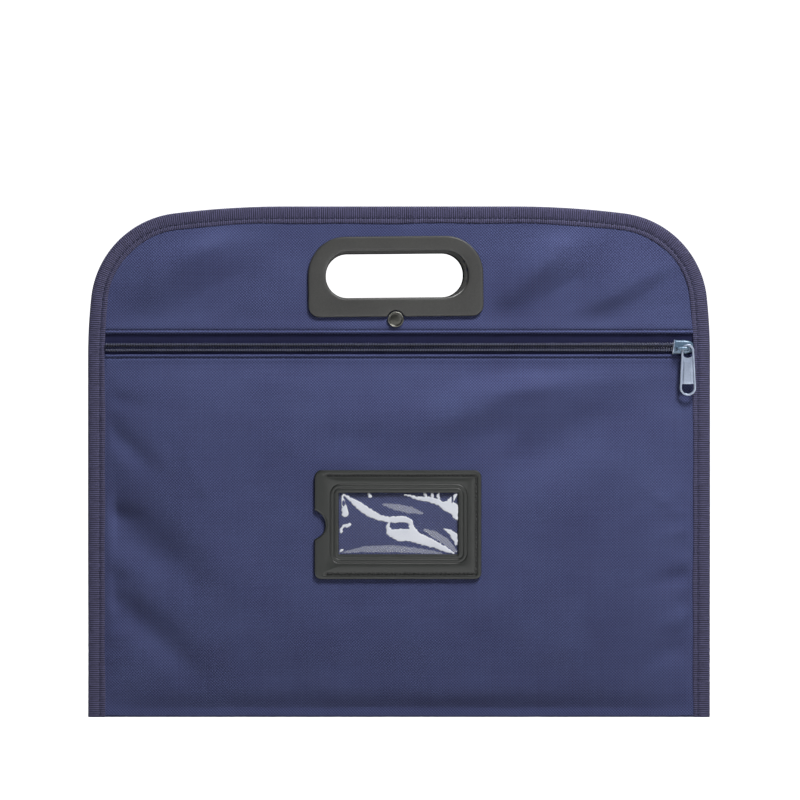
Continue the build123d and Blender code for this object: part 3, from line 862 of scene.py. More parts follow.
@dataclass
class ClothWalls:
    """Oxford cloth of the bag: the back wall with the bottom fold, the yoke, and the front wall.

    Attributes:
        outline: Edge of the bag.
        thickness: Cloth thickness.
        clear_half: Half the width between the bindings.
        pocket_floor: Height where the pocket walls start to swell.
        front_rise: How far the front wall stands off the seam.
        back_rise: How far the back wall does.
        yoke_rise: How far the yoke does, between its seams and the handle.
        hem_width: Width of the turned hems.
        hem_stitch: Distance of a hem's stitch row from its edge.
        front_folds: Soft folds of the front wall.
        yoke_folds: Those of the yoke.
        back_folds: Those of the back wall.
    """

    outline: Outline
    thickness: float = 0.6
    clear_half: float = 179.3
    pocket_floor: float = 6.0
    front_rise: float = 7.0
    back_rise: float = 5.6
    yoke_rise: float = 2.6
    hem_width: float = 8.0
    hem_stitch: float = 2.4
    front_folds: tuple[Fold, ...] = (
        Fold(-172, 194, -12, 16, 5, -1.2),
        Fold(-166, 166, -42, 24, 7, -2.2),
        Fold(-172, 123, -10, 16, 6, -1.9),
        Fold(-156, 107, -37, 36, 15, -4.8),
        Fold(-172, 84, -8, 16, 5, -1.0),
        Fold(-156, 57, -42, 42, 10, -3.2),
        Fold(-125, 151, -62, 26, 3, 0.35),
        Fold(-108, 88, -50, 40, 16, 1.2),
        Fold(68, 202, 28, 66, 14, 5.8),
        Fold(98, 170, 28, 62, 16, -4.2),
        Fold(-4, 184, 6, 50, 11, 1.8),
        Fold(100, 165, 30, 50, 18, -1.2),
        Fold(158, 130, 32, 28, 4, 0.5),
        Fold(162, 131, -34, 24, 4, 0.45),
        Fold(172, 114, 12, 14, 4, 0.9),
        Fold(170, 86, 14, 18, 5, -1.3),
        Fold(172, 60, 18, 16, 5, 0.9),
        Fold(168, 42, 28, 24, 7, -1.5),
        Fold(118, 66, 56, 60, 20, 1.0),
        Fold(10, 60, 8, 90, 22, 1.0),
        Fold(0, 16, 0, 150, 8, 0.9),
    )
    yoke_folds: tuple[Fold, ...] = (
        Fold(-122, 286, 40, 30, 10, 4.4),
        Fold(-106, 262, 40, 30, 11, -2.8),
        Fold(-150, 262, 64, 18, 9, 0.9),
        Fold(83, 273, 43, 34, 9, 4.8),
        Fold(104, 261, 44, 28, 9, -2.6),
        Fold(128, 256, 46, 24, 9, 3.0),
        Fold(150, 252, 44, 20, 9, -1.6),
        Fold(158, 272, 30, 20, 5, 0.9),
        Fold(168, 258, 14, 16, 5, -0.9),
        Fold(64, 298, 8, 36, 6, -0.6),
        Fold(-70, 298, -8, 36, 6, -0.6),
    )
    back_folds: tuple[Fold, ...] = (
        Fold(-150, 180, 40, 40, 12, -2.4),
        Fold(-118, 172, 42, 46, 13, 2.4),
        Fold(150, 152, -38, 40, 12, -2.6),
        Fold(126, 162, -40, 46, 14, 2.6),
        Fold(-140, 62, -40, 46, 13, 2.8),
        Fold(-118, 44, -40, 46, 13, -1.8),
        Fold(140, 62, 42, 46, 13, 2.6),
        Fold(0, 90, 12, 110, 24, -1.6),
        Fold(20, 194, -16, 90, 13, 1.6),
        Fold(-166, 110, 10, 18, 5, 1.2),
        Fold(166, 96, -12, 18, 5, 1.2),
    )

    def pillow(self, x: Array, z: Array, low: float, high: float) -> Array:
        """Share of a wall's full rise: one less an exponential of the distance to each seam."""
        near_side = 1 - np.exp(-np.clip(self.clear_half - np.abs(x), 0, None) / 20)
        near_low = 1 - np.exp(-np.clip(z - low, 0, None) / 22)
        near_high = 1 - np.exp(-np.clip(high - z, 0, None) / 26)
        return near_side * near_low * near_high

    def seam_puckers(self, x: Array, z: Array, seed: int) -> Array:
        """Small ripples square to the side seams, gone about 30 mm from them."""
        inside = np.clip(self.clear_half - np.abs(x), 0, None)
        wave = np.sin(2 * np.pi * (z + 0.25 * inside * np.sign(x)) / 15 + 2.2 * ripples(x * 0, z, 60, seed))
        strength = 0.5 + 0.5 * ripples(x * 0 + np.sign(x) * 400, z, 80, seed + 1)
        return 0.5 * np.clip(strength, 0.05, 1) * wave * np.exp(-inside / 11) * eased(inside, 0, 4)

    def hem(self, x: Array, z: Array, edge: float, way: int) -> Array:
        """Thickness that a turned hem adds: a rolled lip at its edge and a dent under the stitches.

        Args:
            x: Places across.
            z: Heights.
            edge: Height of the hem's edge.
            way: 1 where the cloth is above the edge, -1 where it is below.

        Returns:
            Heights towards the outside.
        """
        inside = way * (z - edge)
        body = 0.6 * (1 - eased(inside, self.hem_width - 4, self.hem_width + 3))
        lip = 0.5 * np.exp(-((inside - 1.1) / 0.8) ** 2)
        dent = -0.45 * np.exp(-((inside - self.hem_stitch) / 0.55) ** 2)
        roll = -1.0 * np.exp(-np.clip(inside, 0, None) / 0.25)
        return (body + lip + dent + roll) * eased(self.clear_half + 0.4 - np.abs(x), 0, 1.0)

    def front_height(self, x: Array, z: Array) -> Array:
        """Distance of the front wall's outer face from its seam plane, towards the front."""
        edge = high_corner("front_panel")[2]
        swell = self.pillow(x, z, self.pocket_floor, edge - self.hem_width + 2)
        folds = sum(fold.height(x, z) for fold in self.front_folds)
        folds = folds + 0.35 * ripples(x, z, 70, 5) + 0.12 * ripples(x, z, 26, 6)
        inside = self.clear_half - np.abs(x)
        free = eased(inside, 0, 8) * eased(z, 2, 14) * eased(edge - z, self.hem_width, 24)
        under_label = 1 - eased(beyond("label_frame", x, z), 0.5, 26)
        loose = self.front_rise * swell + folds * free + self.seam_puckers(x, z, 11)
        height = loose + (self.front_rise - loose) * under_label
        return height + self.hem(x, z, edge, -1)

    def front_half(self, half: Half, material: bpy.types.Material) -> bpy.types.Object:
        """Half of the front wall, from the bottom fold to the hem under the zip."""
        edge = high_corner("front_panel")[2]
        seam = high_corner("yoke_panel")[1] - self.thickness
        across = half.value * spread(0, high_corner("front_panel")[0] - 0.4, 2.1,
                                     [(0, 0.8, 0.4), (172, 181, 0.9)])
        heights = spread(1.3, edge, 2.1, [(1.3, 8, 1.0), (edge - 10.4, edge, 0.35)])
        x, z = np.meshgrid(across, heights)
        y = seam - self.front_height(x, z)
        sheet = double_wall(np.stack([x, y, z], -1), np.stack([x, z], -1), self.thickness * half.value)
        made = place(f"front_cloth_{half.name.lower()}", sheet, material)
        hold(made)
        return made

    def front(self, material: bpy.types.Material) -> None:
        """Both halves of the front wall; the CAD panel is hidden."""
        for half in Half:
            made = self.front_half(half, material)
            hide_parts("front_panel")

    def grip_kept(self, x: Array, z: Array) -> Array:
        """Which quads of a grid lie outside the handle's finger opening."""
        grip = HandleSizes().grip()
        middle_x = (x[:-1, :-1] + x[1:, 1:]) / 2
        middle_z = (z[:-1, :-1] + z[1:, 1:]) / 2
        half_height = (grip[3] - grip[2]) / 2
        run = np.clip(middle_x, grip[0] + half_height, grip[1] - half_height)
        away = np.hypot(middle_x - run, middle_z - (grip[2] + grip[3]) / 2)
        return away > half_height + 3.4

    def yoke(self, material: bpy.types.Material) -> None:
        """Front cloth above the zip, with its hem."""
        edge = low_corner("yoke_panel")[2]
        seam = high_corner("yoke_panel")[1] - self.thickness
        across = spread(-187.4, 187.4, 2.0, [(-184, -176, 1.0), (176, 184, 1.0)])
        share = np.concatenate([np.linspace(0, 0.115, 28), np.linspace(0.115, 1, 40)[1:]])
        top = self.outline.top_at(across, 1.6)
        z = edge + share[:, None] * (top - edge)[None, :]
        x = np.broadcast_to(across, z.shape)
        around = beyond("handle_front_shell", x, z)
        inside, under, above = self.clear_half - np.abs(x), top[None, :] - z, z - edge
        free = eased(around, 0, 16) * eased(under, 7, 24) * eased(above, 6, 24) * eased(inside, 0, 10)
        swell = eased(around, 0, 46) * eased(under, 4, 44) * eased(above, 2, 50) * eased(inside, 0, 34)
        folds = sum(fold.height(x, z) for fold in self.yoke_folds)
        folds = folds + 0.25 * ripples(x, z, 60, 15) + 0.1 * ripples(x, z, 24, 16)
        height = np.maximum(self.yoke_rise * swell + folds * free, -0.35)
        height = height + self.hem(x, z, edge, 1) + self.seam_puckers(x, z, 31) * eased(z - edge, 6, 16)
        grid = np.stack([x, seam - height, z], -1)
        sheet = double_wall(grid, np.stack([x, z], -1), self.thickness, self.grip_kept(x, z))
        made = place("yoke_cloth", sheet, material)
        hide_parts("yoke_panel")
        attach(made, "bag_shell")

    def back(self, material: bpy.types.Material) -> None:
        """Back wall, whose foot turns under the bag as the bottom fold and up to the front."""
        outer = high_corner("edge_binding")[1] - 0.5
        across = spread(-188.6, 188.6, 2.6, [(-181, -172, 1.2), (172, 181, 1.2)])
        top = self.outline.top_at(across, 1.6)
        share = np.concatenate([np.linspace(0, 0.04, 10), np.linspace(0.04, 1, 120)[1:]])
        z = 2.2 + share[:, None] * (top - 2.2)[None, :]
        x = np.broadcast_to(across, z.shape)
        swell = self.pillow(x, z, self.pocket_floor, 236.0)
        folds = sum(fold.height(x, z) for fold in self.back_folds)
        folds = folds + 0.4 * ripples(x, z, 80, 25) + 0.12 * ripples(x, z, 28, 26)
        free = eased(self.clear_half - np.abs(x), 0, 12) * eased(z, 2, 14) * eased(216 - z, 0, 24)
        lift_high = eased(z, 200, 219) * eased(243 - z, 0, 10)
        over_slider = 1.4 * eased(self.clear_half + 0.5 - np.abs(x), 0, 1.6) * lift_high
        rise = np.hypot(self.back_rise * swell, over_slider)
        y = outer + rise + folds * free + self.seam_puckers(x, z, 41) * eased(185 - z, 0, 30)
        wall = np.stack([x, y, z], -1)
        turn = np.linspace(-1.15 * np.pi, 0, 16)[:-1]
        front_plane = high_corner("yoke_panel")[1] - self.thickness
        middle, half = (outer + front_plane) / 2, (outer - front_plane) / 2
        foot_y = middle + half * np.cos(turn)
        foot_z = 1.9 + 1.9 * np.sin(turn)
        foot = np.stack([np.broadcast_to(across, (len(turn), len(across))),
                         np.repeat(foot_y[:, None], len(across), 1),
                         np.repeat(foot_z[:, None], len(across), 1)], -1)
        grid = np.concatenate([foot, wall])
        flat_z = np.concatenate([foot_z[:, None] - 4 + 0 * x[:1], z])
        keep = np.concatenate([np.ones((len(turn), len(across) - 1), bool), self.grip_kept(x, z)])
        flat = np.stack([np.broadcast_to(across, flat_z.shape), flat_z], -1)
        made = place("back_cloth", double_wall(grid, flat, -0.5, keep), material)
        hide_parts("back_panel")
        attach(made, "bag_shell")


def hold(piece: bpy.types.Object) -> None:
    """Bakes the transform of half of a front piece into its mesh."""
    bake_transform(piece)


def hem_stitches(walls: ClothWalls, material: bpy.types.Material) -> None:
    """Lockstitch rows along both hems."""
    reach = walls.clear_half
    seam = high_corner("yoke_panel")[1] - walls.thickness
    yoke_z = low_corner("yoke_panel")[2] + walls.hem_stitch
    ends = np.array([[-reach, seam - 0.34, yoke_z], [reach, seam - 0.34, yoke_z]])
    row = place("yoke_hem_stitches", straight_stitches(*ends, TO_FRONT, 2.5, 0.42, 2.9), material)
    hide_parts("yoke_hem_thread")
    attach(row, "bag_shell")
    front_z = high_corner("front_panel")[2] - walls.hem_stitch
    for half in Half:
        ends = np.array([[0, seam - 0.34, front_z], [half.value * reach, seam - 0.34, front_z]])
        stitches = straight_stitches(*ends, TO_FRONT, 2.5, 0.42, 2.9)
        row = place(f"front_hem_stitches_{half.name.lower()}", stitches, material)
        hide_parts("front_hem_thread")
        hold(row)


# ---------------------------------------------------------------------------------------------
# Binding
# ---------------------------------------------------------------------------------------------


@dataclass
class Binding:
    """Grosgrain tape folded over the left, top and right edges, and its lockstitch rows.

    Attributes:
        outline: Edge of the bag.
        width: Width of each leg of the folded tape.
        cut_width: Width of the flat tape before it is folded; not used.
        stitch_inset: Distance of the stitch row from the outer edge.
        rib_pitch: Spacing of the weft ribs.
        rib_rise: Half their height.
        stitch_pitch: Distance between stitches.
    """

    outline: Outline
    width: float = 10.4
    cut_width: float = 24.0
    stitch_inset: float = 7.4
    rib_pitch: float = 1.3
    rib_rise: float = 0.09
    stitch_pitch: float = 3.1

    def profile(self) -> tuple[Array, Array]:
        """Outer and inner line of the folded tape as distances inside the edge and depths."""
        width, row = self.width, self.stitch_inset
        legs = [(width, -1.28), (width - 0.1, -1.6), (width - 0.6, -1.8), (row + 1.3, -1.86),
                (row + 0.6, -1.7), (row, -1.34), (row - 0.6, -1.74), (row - 1.6, -1.94), (4.0, -1.98),
                (2.2, -1.9), (0.9, -1.62), (0.25, -1.15), (0.0, -0.55)]
        front = np.array(legs)
        middle = -0.3
        back = front[::-1] * np.array([1, -1]) + np.array([0, 2 * middle])
        outer = np.vstack([front, back])
        inner = np.array([(width - 0.1, -1.24), (width - 0.5, -1.24), (row + 1.3, -1.24), (row + 0.6, -1.24),
                          (row, -1.24), (row - 0.6, -1.24), (row - 1.6, -1.24), (4.0, -1.24), (2.2, -1.22),
                          (1.4, -1.15), (0.9, -1.0), (0.65, -0.8), (0.5, -0.5)])
        inner = np.vstack([inner, inner[::-1] * np.array([1, -1]) + np.array([0, 2 * middle])])
        return outer, inner

    def build(self, material: bpy.types.Material) -> None:
        """Carries the profile along the edge; a cosine along the path lifts the outer line's ribs."""
        path, away = self.outline.path(0.0, self.rib_pitch / 4)
        outer, inner = self.profile()
        travel = np.arange(len(path)) * self.rib_pitch / 4
        rib = self.rib_rise * np.cos(2 * np.pi * travel / self.rib_pitch)
        middle = np.array([4.5, -0.3])
        lift = unit(outer - middle)
        wobble = 0.25 * np.sin(travel / 9.0) + 0.2 * np.sin(travel / 23.0 + 1)
        rows = outer[None] + rib[:, None, None] * lift[None]
        edge_share = (outer[:, 0] > self.stitch_inset + 0.9)[None, :]
        rows[..., 0] += wobble[:, None] * edge_share * 0.8
        rows = np.concatenate([rows, np.broadcast_to(inner[::-1], (len(path), *inner.shape))], 1)
        inside, depth = rows[..., 0], rows[..., 1]
        points = np.stack([path[:, None, 0] - inside * away[:, None, 0], depth,
                           path[:, None, 1] - inside * away[:, None, 1]], -1)
        count, columns = points.shape[:2]
        points[..., 2] = np.maximum(points[..., 2], 0.0)
        turn = np.concatenate([[0.0], np.cumsum(np.linalg.norm(np.diff(rows[0], axis=0), axis=1))])
        flat = np.stack(np.meshgrid(travel, turn, indexing="ij"), -1).reshape(-1, 2)
        shell = Shell(points.reshape(-1, 3), tube_faces(count, columns), flat).turned_out()
        made = place("edge_binding_tape", shell, material, 70.0)
        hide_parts("edge_binding")
        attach(made, "bag_shell")

    def stitch(self, material: bpy.types.Material) -> None:
        """Lockstitch rows through both legs of the tape."""
        rows = []
        for facing in Facing:
            middles, away = self.outline.path(self.stitch_inset, self.stitch_pitch, 0.5)
            depth = -0.3 + facing.value * 1.28
            along = np.column_stack([away[:, 1], np.zeros(len(away)), -away[:, 0]])
            out = np.tile([0.0, float(facing.value), 0.0], (len(away), 1))
            places = np.column_stack([middles[:, 0], np.full(len(away), depth), middles[:, 1]])
            rows.append(stitch_row(places, along, out, self.stitch_pitch * 0.86, 0.5))
        made = place("binding_stitches", joined(rows), material)
        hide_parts("binding_thread")
        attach(made, "bag_shell")


# ---------------------------------------------------------------------------------------------
# Zip
# ---------------------------------------------------------------------------------------------


@dataclass
class Zip:
    """Coil zip: two tapes, two interlocked coils on their core cords, and the stitches that hold them.

    Attributes:
        line: Height of the centre line.
        reach: Half the length between the bindings.
        pitch: Distance between turns of a coil.
        wire: Thickness of the monofilament.
        overlap: How far each coil reaches over the centre line.
        bulge: How far it bulges past its outer side.
        tape_width: Width of a tape.
        tape_thickness: Its thickness; not used.
    """

    line: float
    reach: float = 179.3
    pitch: float = 1.55
    wire: float = 0.62
    overlap: float = 0.3
    bulge: float = 0.6
    tape_width: float = 14.4
    tape_thickness: float = 0.6

    def coil(self, way: int, left: float, right: float) -> Shell:
        """One coil: a helix of oval turns along X, each a circle pulled out to the coil's two widths.

        Args:
            way: 1 for the upper coil, -1 for the lower.
            left: Its left end.
            right: Its right end.

        Returns:
            A closed tube.
        """
        steps = 14
        count = int((right - left) / self.pitch * steps)
        x = np.linspace(left, right, count)
        turn = 2 * np.pi * x / self.pitch + (0 if way > 0 else np.pi)
        box = "zip_coil_upper" if way > 0 else "zip_coil_lower"
        low, high = corners(box)
        half_z = (high[2] - low[2] + self.overlap + self.bulge - self.wire) / 2
        half_y = (high[1] - low[1] - self.wire) / 2
        middle_z = (high[2] + low[2] - way * self.overlap + way * self.bulge) / 2
        wave = np.cos(turn)
        square = np.sign(wave) * np.abs(wave) ** 0.7
        path = np.stack([x, (low[1] + high[1]) / 2 + half_y * np.sin(turn), middle_z + half_z * square], 1)
        return sweep(path, np.array([1.0, 0.0, 0.0]), oval(self.wire, self.wire * 1.15, 6))

    def core(self, way: int, left: float, right: float) -> Shell:
        """Core cord inside a coil, slightly lumpy between the turns."""
        node = "zip_core_upper" if way > 0 else "zip_core_lower"
        middle = (low_corner(node) + high_corner(node)) / 2
        x = np.linspace(left, right, int((right - left) / self.pitch * 4))
        path = np.column_stack([x, np.full(len(x), middle[1]), np.full(len(x), middle[2])])
        swell = 1 + 0.08 * np.cos(2 * np.pi * x / self.pitch)
        return sweep(path, np.array([0.0, 0.0, 1.0]), oval(0.9, 0.9, 8)[None] * swell[:, None, None])

    def holding_stitches(self, way: int, left: float, right: float) -> Shell:
        """Two lines of thread over a coil, one stitch over each turn."""
        node = "zip_coil_upper" if way > 0 else "zip_coil_lower"
        front = low_corner(node)[1] - 0.02
        middle = (low_corner(node)[2] + high_corner(node)[2]) / 2 + way * 0.45
        rows = []
        for shift in (-0.28, 0.28):
            ends = np.array([[left, front, middle + shift], [right, front, middle + shift]])
            rows.append(straight_stitches(*ends, TO_FRONT, self.pitch, 0.42, self.pitch))
        return joined(rows)

    def tape(self, way: int, left: float, right: float) -> Shell:
        """Woven tape with a beaded edge under the coil and fine lengthwise ribs."""
        node = "zip_tape_upper" if way > 0 else "zip_tape_lower"
        front, back = low_corner(node)[1], high_corner(node)[1]
        near = self.line + way * 0.1
        x, away = np.meshgrid(np.linspace(left, right, int(abs(right - left) / 3) + 2),
                              np.linspace(0, self.tape_width, 46))
        z = near + way * away
        rib = 0.05 * np.cos(2 * np.pi * away / 1.3)
        sink = 0.04 + 0.03 * ripples(x, z, 30, 51)
        y = front + sink - rib + 0.02
        grid = np.stack([x, y, z], -1)
        depth = (back - front - 0.1) * (1 if (right - left) * way > 0 else -1)
        return double_wall(grid, np.stack([x, z], -1), depth)

    def build(self, tape: bpy.types.Material, coil: bpy.types.Material, core: bpy.types.Material,
              thread: bpy.types.Material) -> None:
        """Builds the upper half whole, and the lower half in a left and a right piece."""
        lower_end = high_corner("zip_coil_lower")[0]
        spans = {"upper": (1, -self.reach, self.reach, None)}
        spans["lower_left"] = (-1, -self.reach, 0.0, Half.LEFT)
        spans["lower_right"] = (-1, 0.0, lower_end, Half.RIGHT)
        for name, (way, left, right, half) in spans.items():
            body = name.split("_")[0]
            tape_reach = high_corner(f"zip_tape_{body}")[0] - 1.5
            tape_ends = (-tape_reach if left < 0 else 0.0, tape_reach if right > 0 else 0.0)
            pieces = (
                ("tape", "woven", self.tape(way, *tape_ends), tape, "zip_tape"),
                ("coil", "turns", self.coil(way, left, right), coil, "zip_coil"),
                ("core", "cord", self.core(way, left, right), core, "zip_coil"),
                ("coil", "stitches", self.holding_stitches(way, left, right), thread, "sewing_thread"),
            )
            for part, made_as, shell, material, slot in pieces:
                made = place(f"zip_{part}_{name}_{made_as}", shell, material)
                if made_as != "stitches":
                    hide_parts(f"zip_{part}_{body}")
                if half is None:
                    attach(made, "bag_shell")
                else:
                    hold(made)


@dataclass
class Slider:
    """Zip slider: a channel over the coils, a plate behind the tapes, and a bridge for the pull.

    Attributes:
        line: Height of the zip's centre line.
        back_plate: Thickness of the plate behind the tapes.
        bar: Thickness of the bridge.
        bar_drop: How far the bridge lies below the centre line.
        shift: How far the cast body reaches on beyond its CAD box, to the right.
    """

    line: float
    back_plate: float = 0.9
    bar: float = 1.4
    bar_drop: float = 0.9
    shift: float = 1.7

    def channel(self) -> Shell:
        """Open-backed body: a U of rounded walls carried along X, drawn in towards its nose."""
        low, high = corners("slider_body")
        half = (high[2] - low[2]) / 2 + 0.35
        front, mouth, roof = -4.2, -1.0, -3.3
        outer = np.array([(half, mouth), (half, -2.2), (half - 0.05, -3.1), (half - 0.35, -3.75),
                          (half - 1.0, -4.1), (half - 2.2, front), (0.8, front - 0.12)])
        outer = np.vstack([outer, outer[::-1] * np.array([-1, 1])])
        inner = np.array([(half - 0.9, mouth), (half - 0.9, -1.8), (half - 0.9, -2.6), (half - 0.95, -3.1),
                          (half - 1.3, roof), (half - 2.2, roof), (0.8, roof)])
        inner = np.vstack([inner, inner[::-1] * np.array([-1, 1])])
        profile = np.vstack([outer, inner[::-1]])
        share = np.concatenate([[0, 0.008, 0.03], np.linspace(0.07, 0.7, 10), np.linspace(0.75, 1.0, 16)])
        x = low[0] + share * (high[0] - low[0])
        nose = np.clip((share - 0.5) / 0.5, 0, 1)
        narrow = 1 - 0.6 * (1 - np.sqrt(np.clip(1 - nose ** 2, 0, 1)))
        narrow *= 1 - 0.05 * np.exp(-share / 0.02)
        flare = 1 + 0.05 * np.exp(-share / 0.12)
        shape = profile[None] * np.stack([narrow * flare, np.ones_like(x)], 1)[:, None]
        drop = 0.55 * nose ** 3 + 0.35 * np.exp(-share / 0.02)
        roofed = (profile[:, 1] < -3.0)[None, :]
        shape = shape + np.stack([np.zeros_like(drop), drop], 1)[:, None] * roofed[..., None]
        points = np.stack([np.broadcast_to(x[:, None], shape.shape[:2]), shape[..., 1],
                           self.line + shape[..., 0]], -1)
        slant = 0.12 * (points[..., 2] - self.line) * (1 - share[:, None])
        points[..., 0] += slant + self.shift
        count, columns = points.shape[:2]
        flat = points.reshape(-1, 3)[:, [0, 2]].copy()
        return Shell(points.reshape(-1, 3), tube_faces(count, columns), flat).turned_out()

    def plate(self) -> Shell:
        """Plate behind the tapes, with rounded edges."""
        low, high = corners("slider_body")
        sides = np.array([low[0] + self.shift, high[0] + self.shift, low[2], high[2]])
        near = high[1] - self.back_plate
        insets = [0.3, 0.08, 0.0, 0.0, 0.08, 0.35]
        depths = [near, near + 0.08, near + 0.25, high[1] - 0.3, high[1] - 0.1, high[1]]
        loops = [rounded_loop(sides, (1.0, 3.0, 3.0, 1.0), inset, 10, 8) for inset in insets]
        return lofted(loops, depths, False)

    def wedge(self) -> Shell:
        """Wedge between the coils that joins the two plates."""
        right = high_corner("slider_body")[0]
        sides = np.array([right - 3.9, right - 0.9, self.line - 1.4, self.line - 0.1])
        loops = [rounded_loop(sides, (0.4, 0.4, 0.4, 0.4), 0.0, 4, 5)] * 2
        return lofted(loops, [-3.4, 0.5], False)

    def bridge(self) -> Shell:
        """Arched bar on two feet: a tube along a line that rises, runs level and falls."""
        right = high_corner("slider_body")[0] - 1.7
        left = right - 6.5
        top = low_corner("slider_body")[1] + self.bar / 2
        foot = -3.9
        turn = np.linspace(0, np.pi / 2, 9)
        bend = 1.3
        rise = np.linspace(foot, top + bend, 8)[:-1]
        left_arc = np.stack([left + bend * (1 - np.cos(turn)), top + bend * (1 - np.sin(turn))], 1)
        level = np.linspace(left + bend, right - bend, 10)[1:-1]
        half = np.vstack([np.column_stack([np.full(len(rise), left), rise]), left_arc])
        other = half[::-1] * np.array([-1, 1]) + np.array([left + right, 0])
        line = np.vstack([half, np.column_stack([level, np.full(len(level), top)]), other])
        path = np.column_stack([line[:, 0], line[:, 1], np.full(len(line), self.line - self.bar_drop)])
        swell = 1 + 0.5 * np.exp(-(line[:, 1] - foot) ** 2 / 0.35)
        profile = oval(self.bar, self.bar * 1.5, 14)[None] * swell[:, None, None]
        return sweep(path, np.array([0.0, 0.0, 1.0]), profile)

    def lip(self) -> Shell:
        """Rounded lip round the slanted mouth of the channel, in the pull's paler lacquer."""
        low, high = corners("slider_body")
        half = (high[2] - low[2]) / 2 + 0.3
        turn = np.linspace(-0.5 * np.pi, 0.5 * np.pi, 30)
        z = self.line + half * np.sin(turn)
        y = -1.6 - 2.45 * np.abs(np.cos(turn)) ** 0.45
        x = low[0] + self.shift + 0.15 + 0.12 * (z - self.line)
        return sweep(np.column_stack([x, y, z]), np.array([1.0, 0.0, 0.0]), oval(0.7, 0.9, 10))

    def build(self, material: bpy.types.Material, lip_finish: bpy.types.Material) -> None:
        """Puts the slider's parts into one piece, and its paler lip into another."""
        parts = [self.channel(), self.plate(), self.wedge(), self.bridge()]
        made = place("zip_slider", joined(parts), material)
        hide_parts("slider_body")
        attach(made, "slider")
        lip = place("zip_slider_lip", self.lip(), lip_finish)
        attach(lip, "slider")


@dataclass
class Pull:
    """Pull hanging on the bridge: a rim round an eye and a tip hole, a web and a raised badge plate.

    Attributes:
        eye_radius: Outer radius at the eye.
        tip_radius: Outer radius at the tip.
        rim: Width of the rim.
        tip_wall: Wall under the tip hole.
        tip_hole: Height of the tip hole.
        eye_height: Height of the eye.
        drop: How far it hangs below its CAD place, as the bridge does.
    """

    eye_radius: float = 3.9
    tip_radius: float = 5.0
    rim: float = 1.35
    tip_wall: float = 1.4
    tip_hole: float = 5.8
    eye_height: float = 7.0
    drop: float = 0.6

    def outline(self, inset: float) -> Array:
        """Closed line round two circles and the straight sides that touch both, drawn in."""
        low, high = corners("pull_tab")
        x = (low[0] + high[0]) / 2
        big, small = self.tip_radius - inset, self.eye_radius - inset
        tip_z, eye_z = low[2] + self.tip_radius, high[2] - self.eye_radius
        lean = math.asin((self.tip_radius - self.eye_radius) / (eye_z - tip_z))
        top = np.linspace(np.pi - lean, lean, 40)
        foot = np.linspace(lean, -np.pi - lean, 56)
        arcs = [np.column_stack([x + small * np.cos(top), eye_z + small * np.sin(top)]),
                np.column_stack([x + big * np.cos(foot), tip_z + big * np.sin(foot)])]
        share = np.linspace(0, 1, 32)[1:-1, None]
        right = arcs[0][-1] + (arcs[1][0] - arcs[0][-1]) * share
        left = arcs[1][-1] + (arcs[0][0] - arcs[1][-1]) * share
        return np.vstack([arcs[0], right, arcs[1], left])

    def half_at(self, z: Array, inset: float) -> Array:
        """Half width between the straight sides at a height."""
        low, high = corners("pull_tab")
        tip_z, eye_z = low[2] + self.tip_radius, high[2] - self.eye_radius
        return np.interp(z, [tip_z, eye_z], [self.tip_radius - inset, self.eye_radius - inset])

    def panel(self, low_z: Array, high_z: Array, inset: float, front: float, thickness: float) -> Shell:
        """Plate between two heights that may change across, as wide as the pull less an inset."""
        low, high = corners("pull_tab")
        x_middle = (low[0] + high[0]) / 2
        side = np.linspace(-1, 1, len(low_z))
        share = np.linspace(0, 1, 14)[:, None]
        z = low_z[None] + share * (high_z - low_z)[None]
        x = x_middle + side[None] * self.half_at(z, inset)
        edge = np.maximum(np.abs(side)[None], 2 * np.abs(share - 0.5))
        y = front + 0.18 * eased(edge, 0.86, 1.0)
        return double_wall(np.stack([x, y, z], -1), np.stack([x, z], -1), thickness)

    def build(self, material: bpy.types.Material) -> None:
        """Puts the rim, the web and the badge plate into one piece."""
        low, high = corners("pull_tab")
        back, front = high[1], high[1] - 1.4
        middle = (back + front) / 2
        line = self.outline(self.rim / 2)
        path = np.column_stack([line[:, 0], np.full(len(line), middle), line[:, 1]])
        turn = np.linspace(0, 2 * np.pi, 16, endpoint=False) + np.pi / 16
        boxy = np.stack([np.cos(turn), np.sin(turn)], 1)
        boxy = np.sign(boxy) * np.abs(boxy) ** 0.55 * np.array([self.rim / 2, (back - front) / 2])
        rim = sweep(path, np.array([0.0, 1.0, 0.0]), boxy, closed=True)
        hole_top = low[2] + self.tip_wall + self.tip_hole
        hole_radius = self.eye_radius - self.rim
        eye_low = high[2] - self.rim - self.eye_height
        side = np.linspace(-1, 1, 22)
        across = side * (hole_radius - 0.02)
        arc = eye_low + hole_radius - np.sqrt(hole_radius ** 2 - across ** 2)
        floor = np.full(len(side), hole_top)
        web = self.panel(floor, arc, self.rim * 0.75, middle - 0.15, 0.7)
        badge_top = np.full(len(side), hole_top + 13.5)
        badge = self.panel(floor + 0.15, badge_top, 1.95, front - 0.28, 0.9)
        pull = joined([rim, web, badge])
        pull.points[:, 2] -= self.drop
        made = place("zip_pull", pull, material, 50.0)
        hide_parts("pull_tab")
        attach(made, "pull")


# ---------------------------------------------------------------------------------------------
# Handle, rivet and label holder
# ---------------------------------------------------------------------------------------------


